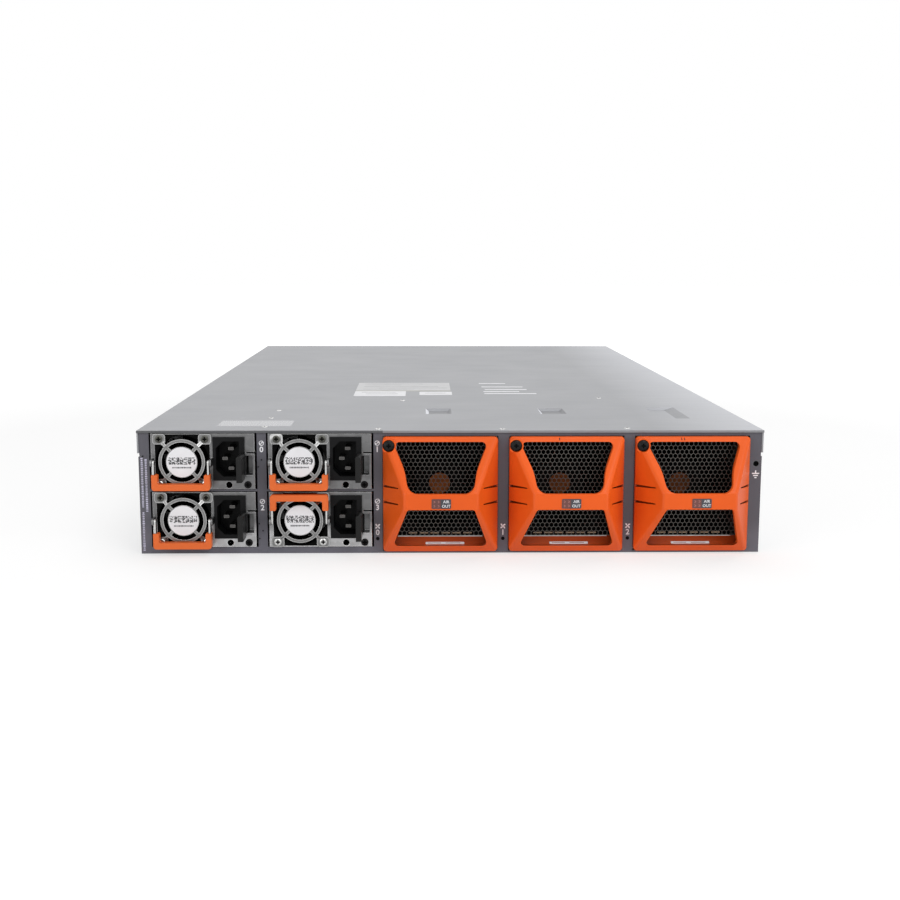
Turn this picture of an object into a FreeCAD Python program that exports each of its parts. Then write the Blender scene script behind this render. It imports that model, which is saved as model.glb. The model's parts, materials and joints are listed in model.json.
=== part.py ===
"""Two-unit rack router, seen from its service side: four power supplies and three fan modules.

Millimetres, +Z up. The service side (power supplies and fans) faces -Y and the port side faces +Y.
The origin is at the middle of the underside of the whole object.
"""

import FreeCAD
import Part
import math
import os

V = FreeCAD.Vector

# How far a cutting tool runs past the face that it leaves
PAST = 1.0

# Sheet metal of the chassis
BASE_SHEET = 1.5
COVER_SHEET = 1.2
DIVIDER_SHEET = 1.2
COVER_FLANGE = 16.0
COVER_GAP = 0.3
FOLD_GAP = 2.6
SIDE_INSET = 0.8
COVER_LIP = 1.6
CHASSIS_DEPTH = 787.0

# Bays, and the posts between them, from left to right
BAY_CLEARANCE = 0.3
PSU_SIDE_CLEARANCE = 1.4
LEFT_POST = 8.4
PSU_POST = 6.6
MIDDLE_POST = 6.4
FAN_POST = 7.6
RIGHT_POST = 9.8
SHELF = 1.6
PSU_LINER = 3.2
HEAD_GAP = 0.5
SEAM_H = 0.9
SEAM_LENGTH = 3.7

# Power supply module
PSU_WIDTH = 72.4
PSU_HEIGHT = 39.4
PSU_LENGTH = 265.0
PSU_PROUD = 1.0
PSU_FAN_X = 22.0
PSU_FAN_SIZE = 38.0
PSU_FAN_DEPTH = 28.0
PSU_FAN_BORE = 18.4
PSU_FAN_GAP = 0.1
PSU_HUB = 10.4
PSU_SHAFT_R = 1.0
STRUT = 2.2

# Finger guard of the power supply's fan
GUARD_SHEET = 1.5
GUARD_DISH = 2.0
GUARD_BEND = 3.2
GUARD_DISC = 10.9
GUARD_RING_IN = 14.0
GUARD_RING_OUT = 16.2
GUARD_HOLE_PITCH = 32.0
GUARD_EAR_W = 9.0
GUARD_EAR_H = 7.4
GUARD_EAR_ROUND = 2.2

# Swinging pull handle of the power supply
LUG_SHEET = 1.2
LUG_OFFSET = 19.9
LUG_ROUND = 2.6
BAIL_STRIP = 1.2
BAIL_DEPTH = 4.0
BAIL_DROP = 17.0
BAIL_GAP = 0.8
PIN_R = 1.0
PIN_CLEARANCE = 0.05
GRIP_DEPTH = 6.0
GRIP_BAR = 4.6
GRIP_LEG = 4.2
GRIP_LEG_TOP = 8.0
GRIP_ROUND = 2.2
SIDE_GAP = 0.3

# Mains inlet, turned on its side so that the earth blade is on the left
INLET_X = 53.6
INLET_RISE = 1.9
INLET_FLANGE_LEFT = 43.3
INLET_FLANGE_RIGHT = 65.5
INLET_FLANGE_H = 30.8
INLET_FLANGE = 1.5
INLET_WALL = 0.6
INLET_MOUTH_W = 16.4
INLET_MOUTH_H = 25.0
INLET_MOUTH_DEPTH = 15.5
INLET_BACK = 3.0
INLET_CHAMFER = 5.0
INLET_GAP = 0.1
BLADE_LONG = 3.6
BLADE_THICK = 2.0
BLADE_PITCH = 14.0
EARTH_OFFSET = 4.2
BLADE_SETBACK = 1.5

# Release lever of the power supply, pushed towards the inlet by a thumb, and the pocket beside it
LEVER_X = 65.0
LEVER_NECK = 2.2
LEVER_TAB_LEFT = 61.9
LEVER_TAB_W = 3.8
LEVER_BOTTOM = 7.6
LEVER_TOP = 25.9
LEVER_REACH = 19.0
LEVER_STANDOFF = 3.0
LEVER_PIVOT = 8.0
LEVER_TRAVEL_DEG = 5.0
LEVER_BARREL = 1.8
LEVER_ROUND = 1.8
LEVER_GAP = 0.3
POCKET_LOW = 9.9
POCKET_HIGH = 23.8
POCKET_WALL = 1.6
SLIT_X = 66.5
SLIT_H = 1.2
SLIT_RISE = 1.4
SLIT_DEPTH = 6.0

# Hole that takes the stud of a cord retainer
TIE_HOLE_R = 2.3
TIE_HOLE_X = 54.2
TIE_HOLE_Z = 2.9
TIE_HOLE_DEPTH = 8.0

# Fan module
FAN_WIDTH = 80.8
FAN_HEIGHT = 82.0
FAN_LENGTH = 130.0
RIM = 3.2
RIM_PROUD = 3.0
RIM_ROUND = 2.5
SKIRT = 4.0
HANDLE_REACH = 32.0
HANDLE_HALF_W = 25.5
HANDLE_BAR = 12.0
HANDLE_WALL = 3.0
HIP_ROUND = 3.0
WINDOW_RIM_HALF = 33.5
WINDOW_RIM_ROUND = 3.0
WINDOW_WAIST_HALF = 24.9
WINDOW_WAIST_RISE = 19.5
WINDOW_WAIST_ROUND = 30.0
UPPER_WINDOW_BAR_HALF = 22.3
UPPER_WINDOW_BAR_ROUND = 7.5
LOWER_WINDOW_EDGE = 4.7
LOWER_WINDOW_BAR_HALF = 23.0
LOWER_WINDOW_BAR_ROUND = 2.0
BAR_EDGE = 0.6
BAR_WALL = 1.0
GROOVE_PITCH = 11.3
GROOVE_SHIFT = 0.6
GROOVE_MOUTH = 1.8
GROOVE_TIP = 0.8
GROOVE_DEPTH = 2.2
GROOVE_LENGTH = 11.0
GROOVE_RISE = 2.0
SILL_RISE = 5.0
GRILLE_SHEET = 1.0
GRILLE_PITCH = 6.9
GRILLE_WEB = 0.9
GRILLE_GAP = 0.3
SLED_SHEET = 1.0
SLED_INSET = 0.4
SLED_LIP = 3.5
FAN_SETBACK = 42.0
FAN_FRAME_DEPTH = 38.0
FAN_FRAME_GAP = 0.15
FAN_BORE = 36.0
FAN_HUB = 18.0
FAN_BLADES = 7
PSU_FAN_BLADES = 5
SHAFT_R = 2.0
SHAFT_CLEARANCE = 0.05
SHAFT_INSET = 2.0
BEARING_FLOOR = 1.0
TIP_GAP = 0.7
HUB_GAP = 0.5
HUB_PLATE = 4.0
VANE = 1.4
VANE_ROOT_DEG = 52.0
VANE_TIP_DEG = 34.0
VANE_SINK = 2.0
VANE_TRIM = 1.5

# Captive screw in the upper left corner of a fan module, and the tab that it screws into
SCREW_INSET = 4.2
SCREW_DROP = 5.6
SCREW_KNOB_R = 3.8
SCREW_KNOB = 5.0
SCREW_KNOB_ROUND = 1.0
SCREW_SHANK_R = 1.5
SCREW_HOLE_R = 1.7
SCREW_SEAT = 4.0
SCREW_KNOB_GAP = 0.4
SCREW_BOSS_R = 5.2
SCREW_BOSS_PROUD = 8.0
SCREW_LENGTH = 11.0
TAB = 8.0
TAB_SHEET = 4.0
TAB_SETBACK = 6.0
NOTCH_GAP = 0.8

# Anti-static jack in the right-hand post
JACK_R = 2.0
JACK_WALL = 0.4
JACK_LENGTH = 12.0
JACK_INSET = 4.8
JACK_Z = 64.0

# Stamped hollows of the top cover: distance of the middle from the rear edge, width, length
HOLLOW_DEPTH = 2.0
HOLLOW_SLOPE = 2.5
LARGE_HOLLOW_RAMP = 8.0
SMALL_HOLLOW_Y = 108.0
SMALL_HOLLOW_W = 20.0
SMALL_HOLLOW_L = 34.0
LARGE_HOLLOW_Y = 97.0
LARGE_HOLLOW_W = 23.0
LARGE_HOLLOW_L = 68.0

# Circuit boards, their supports and heat sinks
BOARD = 2.0
BOARD_RISE = 7.0
BOARD_MARGIN = 4.0
MIDPLANE_GAP = 8.0
STANDOFF_R = 4.0
STANDOFF_INSET = 20.0
CONNECTOR_W = 50.0
CONNECTOR_H = 10.0
CONNECTOR_GAP = 0.5
AIR_WINDOW = 60.0
SINK_COUNT = 3
SINK_PITCH = 117.0
SINK_W = 90.0
SINK_L = 110.0
SINK_H = 45.0
SINK_BASE = 6.0
SINK_FINS = 15
SINK_FIN = 1.6
SINK_SETBACK = 150.0

# Port side
PORT_GROUPS = 6
PORT_COLUMNS = 2
PORT_ROWS = 3
PORT_W = 18.6
PORT_H = 8.8
PORT_COLUMN_PITCH = 20.4
PORT_ROW_PITCH = 20.0
PORT_LOWEST_Z = 24.0
GROUP_PITCH = 56.0
FIRST_GROUP_INSET = 42.0
CAGE_WALL = 1.2
CAGE_LENGTH = 60.0
PLUG_GAP = 0.1
PLUG_DEPTH = 14.0
PLUG_LIP = 0.6
PLUG_LIP_DEPTH = 1.2
PLUG_TAB_W = 8.0
PLUG_TAB_H = 2.4
PLUG_TAB = 1.8
VENT_HEX = 6.4
VENT_PITCH = 7.6
VENT_ROWS = 8

# Management connectors, in a column at the right-hand end as seen from the service side
JACK_COLUMN_INSET = 36.0
RJ_W = 16.0
RJ_H = 14.0
RJ_LENGTH = 22.0
RJ_MOUTH_W = 11.8
RJ_MOUTH_H = 8.4
RJ_MOUTH_DEPTH = 13.0
RJ_ROW_PITCH = 18.0
RJ_LOWEST_Z = 22.0
USB_W = 14.6
USB_H = 7.4
USB_MOUTH_W = 12.6
USB_MOUTH_H = 5.2
USB_Z = 62.0
JACK_GAP = 0.15

# Rack bracket holes in the sides, near the port end
BRACKET_HOLE_R = 2.2
BRACKET_PITCH_Y = 40.0
BRACKET_PITCH_Z = 32.0
BRACKET_INSET = 45.0
BRACKET_Z = 36.0

# Places worked out from the sizes above
PSU_BAY_W = PSU_WIDTH + 2 * PSU_SIDE_CLEARANCE
PSU_BAY_H = PSU_HEIGHT + 2 * BAY_CLEARANCE
FAN_BAY_W = FAN_WIDTH + 2 * BAY_CLEARANCE
POSTS_WIDTH = LEFT_POST + PSU_POST + MIDDLE_POST + 2 * FAN_POST + RIGHT_POST
CHASSIS_WIDTH = POSTS_WIDTH + 2 * PSU_BAY_W + 3 * FAN_BAY_W
LEFT = -CHASSIS_WIDTH / 2
TRAY_LEFT = LEFT + COVER_SHEET + COVER_GAP
SIDE_LEFT = LEFT + SIDE_INSET
PSU_FLOOR = BASE_SHEET + PSU_LINER
PSU_TOP = PSU_FLOOR + 2 * PSU_BAY_H + SHELF
COVER_UNDER = PSU_TOP + HEAD_GAP
CHASSIS_HEIGHT = COVER_UNDER + COVER_SHEET
FAN_FLOOR = BASE_SHEET
FAN_TOP = FAN_FLOOR + FAN_HEIGHT + 2 * BAY_CLEARANCE
FLANGE_LOW = CHASSIS_HEIGHT - COVER_FLANGE
TRAY_FOLD = FLANGE_LOW - FOLD_GAP
PLUG_REACH = PLUG_LIP_DEPTH + PLUG_TAB
REAR = HANDLE_REACH - (HANDLE_REACH + CHASSIS_DEPTH + PLUG_REACH) / 2
FRONT = REAR + CHASSIS_DEPTH
FRAME_BACK = REAR + BASE_SHEET
PANEL_BACK = FRONT - BASE_SHEET

PSU_BAYS_X = [LEFT + LEFT_POST + column * (PSU_BAY_W + PSU_POST) for column in range(2)]
PSU_BAYS_Z = [PSU_FLOOR + row * (PSU_BAY_H + SHELF) for row in range(2)]
SHELF_Z = (PSU_FLOOR + PSU_BAY_H, PSU_FLOOR + PSU_BAY_H + SHELF)
FIRST_FAN_BAY = PSU_BAYS_X[1] + PSU_BAY_W + MIDDLE_POST
FAN_BAYS_X = [FIRST_FAN_BAY + i * (FAN_BAY_W + FAN_POST) for i in range(3)]
MIDPLANE_Y = REAR - PSU_PROUD + PSU_LENGTH + MIDPLANE_GAP
BOARD_TOP = BASE_SHEET + BOARD_RISE + BOARD

PSU_FAN_Z = PSU_HEIGHT / 2
PIVOT_Y = -(GUARD_SHEET + GUARD_DISH + BAIL_GAP + GRIP_DEPTH / 2)
FAN_MID = FAN_HEIGHT / 2
SCREW_X = -FAN_WIDTH / 2 + SCREW_INSET
SCREW_Z = FAN_HEIGHT - SCREW_DROP


# Small makers shared by the pieces

def block(x, y, z):
    """Box between the low and high values given for each axis."""
    return Part.makeBox(x[1] - x[0], y[1] - y[0], z[1] - z[0], V(x[0], y[0], z[0]))


def rod_y(x, z, y, radius):
    return Part.makeCylinder(radius, y[1] - y[0], V(x, y[0], z), V(0, 1, 0))


def rod_x(y, z, x, radius):
    return Part.makeCylinder(radius, x[1] - x[0], V(x[0], y, z), V(1, 0, 0))


def rod_z(x, y, z, radius):
    return Part.makeCylinder(radius, z[1] - z[0], V(x, y, z[0]), V(0, 0, 1))


def outline(corners):
    """Closed wire through (point, radius) corners; a radius above zero rounds its corner with an arc."""
    edges = []
    ends = []
    count = len(corners)
    for i, (point, radius) in enumerate(corners):
        before = (corners[i - 1][0] - point).normalize()
        after = (corners[(i + 1) % count][0] - point).normalize()
        if radius <= 0:
            ends.append((point, point))
            continue
        half = before.getAngle(after) / 2
        run = radius / math.tan(half)
        middle = (before + after).normalize()
        start = point + before * run
        end = point + after * run
        top = point + middle * (radius / math.sin(half) - radius)
        edges.append(Part.Arc(start, top, end).toShape())
        ends.append((start, end))
    for i in range(count):
        start = ends[i - 1][1]
        end = ends[i][0]
        if start.distanceToPoint(end) > 1e-6:
            edges.append(Part.LineSegment(start, end).toShape())
    return Part.Wire(Part.__sortEdges__(edges))


def plate_y(corners, y):
    """Plate between two depths, from (x, z, radius) corners of its outline."""
    wire = outline([(V(x, y[0], z), radius) for x, z, radius in corners])
    return Part.Face(wire).extrude(V(0, y[1] - y[0], 0))


def rounded_plate_y(x, z, y, radius):
    corners = [(x[0], z[0]), (x[1], z[0]), (x[1], z[1]), (x[0], z[1])]
    return plate_y([(a, b, radius) for a, b in corners], y)


def prism(points, along):
    """Straight extrusion of a polygon given as vectors."""
    return Part.Face(Part.makePolygon(points + points[:1])).extrude(along)


def fuse(shapes):
    return shapes[0].multiFuse(shapes[1:]).removeSplitter()


def hexagon(x, z, y, across_flats):
    radius = across_flats / math.sqrt(3)
    angles = [math.radians(30 + 60 * k) for k in range(6)]
    points = [V(x + radius * math.cos(a), y, z + radius * math.sin(a)) for a in angles]
    return Part.makePolygon(points + points[:1])


def honeycomb(x, z, pitch):
    """Middles of a honeycomb's cells inside a rectangle, rows running along X."""
    row_pitch = pitch * math.sqrt(3) / 2
    rows = int((z[1] - z[0] - pitch) / row_pitch) + 1
    first = (z[0] + z[1]) / 2 - (rows - 1) * row_pitch / 2
    cells = []
    for row in range(rows):
        shift = pitch / 2 * (row % 2)
        count = int((x[1] - x[0] - pitch - shift) / pitch) + 1
        start = (x[0] + x[1]) / 2 - (int((x[1] - x[0] - pitch) / pitch)) * pitch / 2 + shift
        cells += [(start + k * pitch, first + row * row_pitch) for k in range(count)]
    return [cell for cell in cells if cell[0] + pitch / 2 <= x[1]]


def blade(root, tip, chord, thickness, y, root_pitch, tip_pitch):
    """Twisted fan blade along +X, lofted from its root section to its tip section."""
    sections = []
    for radius, pitch in ((root, root_pitch), (tip, tip_pitch)):
        turn = math.radians(pitch)
        points = []
        for along, through in ((-1, -1), (1, -1), (1, 1), (-1, 1)):
            a = along * chord / 2
            t = through * thickness / 2
            depth = y + a * math.sin(turn) + t * math.cos(turn)
            points.append(V(radius, depth, a * math.cos(turn) - t * math.sin(turn)))
        sections.append(Part.makePolygon(points + points[:1]))
    return Part.makeLoft(sections, True, True)


def impeller(x, z, y, hub, bore, blades, shaft_end, shaft_radius):
    """Fan rotor on the Y axis: hub, twisted blades and a shaft that runs towards the motor plate."""
    depth = y[1] - y[0]
    chord = depth - VANE_TRIM
    reach = bore - TIP_GAP
    tip = math.sqrt(reach ** 2 - (chord / 2) ** 2)
    one = blade(hub - VANE_SINK, tip, chord, VANE, (y[0] + y[1]) / 2, VANE_ROOT_DEG, VANE_TIP_DEG)
    shapes = [rod_y(0, 0, y, hub), rod_y(0, 0, (shaft_end, y[0]), shaft_radius)]
    for k in range(blades):
        turned = one.copy()
        turned.rotate(V(0, 0, 0), V(0, 1, 0), 360.0 * k / blades)
        shapes.append(turned)
    rotor = fuse(shapes)
    rotor.translate(V(x, 0, z))
    return rotor


# Chassis

def chassis_tray():
    """Base pan: floor, side walls stepped in under the lid's flanges, and the main board's standoffs."""
    right = -TRAY_LEFT
    y = (FRAME_BACK, PANEL_BACK)
    step = (TRAY_FOLD - BASE_SHEET, TRAY_FOLD)
    shapes = [block((SIDE_LEFT, -SIDE_LEFT), y, (0, BASE_SHEET))]
    for side in (-1, 1):
        outer = side * SIDE_LEFT
        upper = side * TRAY_LEFT
        inner = upper + side * BASE_SHEET
        shapes.append(block(sorted((outer, outer + side * BASE_SHEET)), y, (0, TRAY_FOLD)))
        shapes.append(block(sorted((outer, inner)), y, step))
        shapes.append(block(sorted((upper, inner)), y, (step[0], COVER_UNDER)))
    board_y = (MIDPLANE_Y + BOARD + STANDOFF_INSET, PANEL_BACK - CAGE_LENGTH - STANDOFF_INSET)
    for x in (TRAY_LEFT + STANDOFF_INSET, 0, right - STANDOFF_INSET):
        for y_middle in (board_y[0], sum(board_y) / 2, board_y[1]):
            shapes.append(rod_z(x, y_middle, (0, BASE_SHEET + BOARD_RISE), STANDOFF_R))
    tray = fuse(shapes)
    holes = []
    for y_hole in (-BRACKET_PITCH_Y / 2, BRACKET_PITCH_Y / 2):
        for z_hole in (-BRACKET_PITCH_Z / 2, BRACKET_PITCH_Z / 2):
            place = (FRONT - BRACKET_INSET + y_hole, BRACKET_Z + z_hole)
            holes.append(rod_x(*place, (TRAY_LEFT - PAST, right + PAST), BRACKET_HOLE_R))
    return tray.cut(Part.makeCompound(holes))


def stamped_hollow(x, y, width, length, ramp, top):
    """Hollow pressed into a sheet, with sloping walls and a longer ramp on its right side."""
    sections = []
    for slope, right_slope, drop in ((0, 0, 0), (HOLLOW_SLOPE, ramp, HOLLOW_DEPTH)):
        left = x - width / 2 + slope
        right = x + width / 2 - right_slope
        near = y - length / 2 + slope
        far = y + length / 2 - slope
        points = [V(a, b, top - drop) for a, b in ((left, near), (right, near), (right, far), (left, far))]
        sections.append(Part.makePolygon(points + points[:1]))
    return Part.makeLoft(sections, True, True)


def top_cover():
    """Lid with folded sides, a lip over the rear frame, and stamped hollows over the fan bays."""
    right = -LEFT
    y = (REAR, FRONT)
    shapes = [block((LEFT, right), y, (COVER_UNDER, CHASSIS_HEIGHT))]
    lip_y = (REAR - COVER_SHEET, REAR)
    shapes.append(block((LEFT, right), lip_y, (CHASSIS_HEIGHT - COVER_LIP, CHASSIS_HEIGHT)))
    for x in ((LEFT, LEFT + COVER_SHEET), (right - COVER_SHEET, right)):
        shapes.append(block(x, y, (CHASSIS_HEIGHT - COVER_FLANGE, CHASSIS_HEIGHT)))
    lid = fuse(shapes)
    middles = [x + FAN_BAY_W / 2 for x in FAN_BAYS_X]
    hollows = [(x, SMALL_HOLLOW_Y, SMALL_HOLLOW_W, SMALL_HOLLOW_L, HOLLOW_SLOPE) for x in middles[:2]]
    hollows.append((middles[2], LARGE_HOLLOW_Y, LARGE_HOLLOW_W, LARGE_HOLLOW_L, LARGE_HOLLOW_RAMP))
    for x, setback, width, length, ramp in hollows:
        place = (x, REAR + setback, width, length, ramp)
        lid = lid.fuse(stamped_hollow(*place, COVER_UNDER))
        lid = lid.cut(stamped_hollow(*place, CHASSIS_HEIGHT))
    return lid.removeSplitter()


def end_plate(y):
    """Plate that closes one end of the tray, stepped in under the lid's flanges."""
    low = block((SIDE_LEFT, -SIDE_LEFT), y, (0, TRAY_FOLD))
    return fuse([low, block((TRAY_LEFT, -TRAY_LEFT), y, (0, COVER_UNDER))])


def rear_frame():
    """Rear panel in strips: bottom rail, posts, sills, the noses of the shelves and the fan bays' heads."""
    y = (REAR, FRAME_BACK)
    depth = (REAR - PAST, FRAME_BACK + PAST)
    psu_spans = [(x, x + PSU_BAY_W) for x in PSU_BAYS_X]
    fan_spans = [(x, x + FAN_BAY_W) for x in FAN_BAYS_X]
    cuts = [block(span, depth, (0, CHASSIS_HEIGHT)) for span in psu_spans + fan_spans]
    cuts.append(block((LEFT, -LEFT), depth, (-PAST, BASE_SHEET)))
    cuts.append(block((LEFT, SIDE_LEFT + SEAM_LENGTH), depth, (TRAY_FOLD, TRAY_FOLD + SEAM_H)))
    cuts.append(rod_y(-LEFT - JACK_INSET, JACK_Z, depth, JACK_R + JACK_WALL))
    strips = end_plate(y).cut(Part.makeCompound(cuts)).Solids
    strips.append(block((SIDE_LEFT, -SIDE_LEFT), y, (0, BASE_SHEET)))
    strips += [block(span, y, z) for span in psu_spans for z in ((BASE_SHEET, PSU_FLOOR), SHELF_Z)]
    strips += [block(span, y, (FAN_TOP, COVER_UNDER)) for span in fan_spans]
    return Part.makeCompound(strips)


def esd_jack():
    """Blind metal socket for a wrist strap's plug."""
    x = -LEFT - JACK_INSET
    outer = rod_y(x, JACK_Z, (REAR, REAR + JACK_LENGTH), JACK_R + JACK_WALL)
    return outer.cut(rod_y(x, JACK_Z, (REAR - PAST, REAR + JACK_LENGTH - JACK_WALL), JACK_R))


def divider_channel(left, width, y_end):
    """Folded channel that fills the space behind a post and closes the bays beside it."""
    y = (FRAME_BACK, y_end)
    z = (BASE_SHEET, COVER_UNDER)
    outer = block((left, left + width), y, z)
    inner = (left + DIVIDER_SHEET, left + width - DIVIDER_SHEET)
    return outer.cut(block(inner, (y[0] - PAST, y[1] + PAST), (z[0] - PAST, z[1] - DIVIDER_SHEET)))


def screw_tab(bay_left):
    """Tapped tab in a fan bay's upper left corner, folded out of the channel beside it."""
    y = (REAR + TAB_SETBACK, REAR + TAB_SETBACK + TAB_SHEET)
    tab = block((bay_left, bay_left + TAB), y, (FAN_TOP - BAY_CLEARANCE - SCREW_DROP - TAB / 2, FAN_TOP))
    x = bay_left + BAY_CLEARANCE + SCREW_INSET
    z = FAN_FLOOR + BAY_CLEARANCE + SCREW_Z
    return tab.cut(rod_y(x, z, (y[0] - PAST, y[1] + PAST), SCREW_HOLE_R))


def bay_dividers():
    """Channels behind the posts, with the screw tabs, and the shelves and floors of the power supplies."""
    psu_end = MIDPLANE_Y
    fan_end = REAR + FAN_LENGTH + MIDPLANE_GAP
    walls = [divider_channel(PSU_BAYS_X[0] + PSU_BAY_W, PSU_POST, psu_end)]
    middle = divider_channel(PSU_BAYS_X[1] + PSU_BAY_W, MIDDLE_POST, psu_end)
    walls.append(fuse([middle, screw_tab(FAN_BAYS_X[0])]))
    for i in (1, 2):
        post = divider_channel(FAN_BAYS_X[i] - FAN_POST, FAN_POST, fan_end)
        walls.append(fuse([post, screw_tab(FAN_BAYS_X[i])]))
    starts = (SIDE_LEFT + BASE_SHEET, PSU_BAYS_X[1])
    for start, bay in zip(starts, PSU_BAYS_X):
        walls.append(block((start, bay + PSU_BAY_W), (FRAME_BACK, psu_end), SHELF_Z))
    liner_z = (BASE_SHEET, PSU_FLOOR)
    walls += [block((x, x + PSU_BAY_W), (FRAME_BACK, psu_end), liner_z) for x in PSU_BAYS_X]
    return Part.makeCompound(walls)


def heat_sink(x, y):
    """Extruded comb of fins on a base plate, standing on the main board."""
    pitch = (SINK_W - SINK_FIN) / (SINK_FINS - 1)
    left = x - SINK_W / 2
    points = [V(left, y, BOARD_TOP), V(left + SINK_W, y, BOARD_TOP)]
    for k in reversed(range(SINK_FINS)):
        fin = left + k * pitch
        valley = BOARD_TOP + SINK_BASE
        if k < SINK_FINS - 1:
            points.append(V(fin + SINK_FIN, y, valley))
        points += [V(fin + SINK_FIN, y, BOARD_TOP + SINK_H), V(fin, y, BOARD_TOP + SINK_H)]
        if k > 0:
            points.append(V(fin, y, valley))
    return prism(points, V(0, SINK_L, 0))


def main_boards():
    """Midplane with its power connectors, main board, and the heat sinks on it."""
    inside = (TRAY_LEFT + BASE_SHEET + BOARD_MARGIN, -TRAY_LEFT - BASE_SHEET - BOARD_MARGIN)
    midplane = block(inside, (MIDPLANE_Y, MIDPLANE_Y + BOARD), (BASE_SHEET, FAN_TOP))
    windows = []
    for x in FAN_BAYS_X:
        middle = x + FAN_BAY_W / 2
        span = (middle - AIR_WINDOW / 2, middle + AIR_WINDOW / 2)
        z = (BOARD_TOP + BOARD_MARGIN, FAN_TOP - BOARD_MARGIN)
        windows.append(block(span, (MIDPLANE_Y - PAST, MIDPLANE_Y + BOARD + PAST), z))
    midplane = midplane.cut(Part.makeCompound(windows))
    connectors = []
    for x in PSU_BAYS_X:
        for z in PSU_BAYS_Z:
            middle = x + PSU_BAY_W / 2
            low = z + BAY_CLEARANCE + PSU_HEIGHT / 2 - CONNECTOR_H / 2
            span = (middle - CONNECTOR_W / 2, middle + CONNECTOR_W / 2)
            y = (MIDPLANE_Y - MIDPLANE_GAP + CONNECTOR_GAP, MIDPLANE_Y)
            connectors.append(block(span, y, (low, low + CONNECTOR_H)))
    midplane = fuse([midplane] + connectors)
    board = block(inside, (MIDPLANE_Y + BOARD, PANEL_BACK), (BASE_SHEET + BOARD_RISE, BOARD_TOP))
    sinks = []
    for k in range(SINK_COUNT):
        x = (k - (SINK_COUNT - 1) / 2) * SINK_PITCH
        sinks.append(heat_sink(x, MIDPLANE_Y + SINK_SETBACK))
    return Part.makeCompound([midplane, board] + sinks)


# Port side

def port_places():
    """Middle of each port as (group, x, z)."""
    places = []
    for group in range(PORT_GROUPS):
        middle = LEFT + FIRST_GROUP_INSET + group * GROUP_PITCH
        for column in range(PORT_COLUMNS):
            x = middle + (column - (PORT_COLUMNS - 1) / 2) * PORT_COLUMN_PITCH
            places += [(group, x, PORT_LOWEST_Z + row * PORT_ROW_PITCH) for row in range(PORT_ROWS)]
    return places


def port_span(x, z, gap):
    """X and Z ranges of a port's mouth, grown by gap on each side."""
    across = (x - PORT_W / 2 - gap, x + PORT_W / 2 + gap)
    return across, (z - PORT_H / 2 - gap, z + PORT_H / 2 + gap)


def management_places():
    """Middle, body size and mouth size of each management connector."""
    x = -LEFT - JACK_COLUMN_INSET
    places = [(x, RJ_LOWEST_Z + row * RJ_ROW_PITCH, RJ_W, RJ_H, RJ_MOUTH_W, RJ_MOUTH_H) for row in range(2)]
    places.append((x, USB_Z, USB_W, USB_H, USB_MOUTH_W, USB_MOUTH_H))
    return places


def front_panel():
    """Port panel with its connector cut-outs and honeycomb vents between the port groups."""
    panel = end_plate((PANEL_BACK, FRONT))
    depth = (PANEL_BACK - PAST, FRONT + PAST)
    cuts = []
    for group, x, z in port_places():
        across, up = port_span(x, z, 0)
        cuts.append(block(across, depth, up))
    for x, z, width, height, mouth_w, mouth_h in management_places():
        across = (x - width / 2 - JACK_GAP, x + width / 2 + JACK_GAP)
        cuts.append(block(across, depth, (z - height / 2 - JACK_GAP, z + height / 2 + JACK_GAP)))
    row_pitch = VENT_PITCH * math.sqrt(3) / 2
    middle = PORT_LOWEST_Z + PORT_ROW_PITCH * (PORT_ROWS - 1) / 2
    for group in range(PORT_GROUPS):
        x = LEFT + FIRST_GROUP_INSET + (group + 0.5) * GROUP_PITCH
        for row in range(VENT_ROWS):
            z = middle + (row - (VENT_ROWS - 1) / 2) * row_pitch
            shift = VENT_PITCH / 2 * (-1) ** row / 2
            cell = hexagon(x + shift, z, depth[0], VENT_HEX)
            cuts.append(Part.Face(cell).extrude(V(0, depth[1] - depth[0], 0)))
    return panel.cut(Part.makeCompound(cuts))


def port_cages():
    """One ganged cage block for each group of ports, standing on the main board."""
    blocks = []
    width = PORT_COLUMN_PITCH * (PORT_COLUMNS - 1) + PORT_W + 2 * CAGE_WALL
    top = PORT_LOWEST_Z + PORT_ROW_PITCH * (PORT_ROWS - 1) + PORT_H / 2 + CAGE_WALL
    for group in range(PORT_GROUPS):
        middle = LEFT + FIRST_GROUP_INSET + group * GROUP_PITCH
        y = (PANEL_BACK - CAGE_LENGTH, PANEL_BACK)
        cage = block((middle - width / 2, middle + width / 2), y, (BOARD_TOP, top))
        pockets = []
        for owner, x, z in port_places():
            if owner == group:
                across, up = port_span(x, z, 0)
                pockets.append(block(across, (y[0] + CAGE_WALL, y[1] + PAST), up))
        blocks.append(cage.cut(Part.makeCompound(pockets)))
    return Part.makeCompound(blocks)


def dust_plugs():
    """Rubber dust plug in each empty port, with a lip outside the panel and a pull tab."""
    plugs = []
    for group, x, z in port_places():
        across, up = port_span(x, z, -PLUG_GAP)
        stem = block(across, (PANEL_BACK - PLUG_DEPTH, FRONT), up)
        across, up = port_span(x, z, PLUG_LIP)
        lip = block(across, (FRONT, FRONT + PLUG_LIP_DEPTH), up)
        tab_x = (x - PLUG_TAB_W / 2, x + PLUG_TAB_W / 2)
        tab_z = (z - PLUG_TAB_H / 2, z + PLUG_TAB_H / 2)
        tab = block(tab_x, (FRONT, FRONT + PLUG_REACH), tab_z)
        plugs.append(fuse([stem, lip, tab]))
    return Part.makeCompound(plugs)


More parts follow.
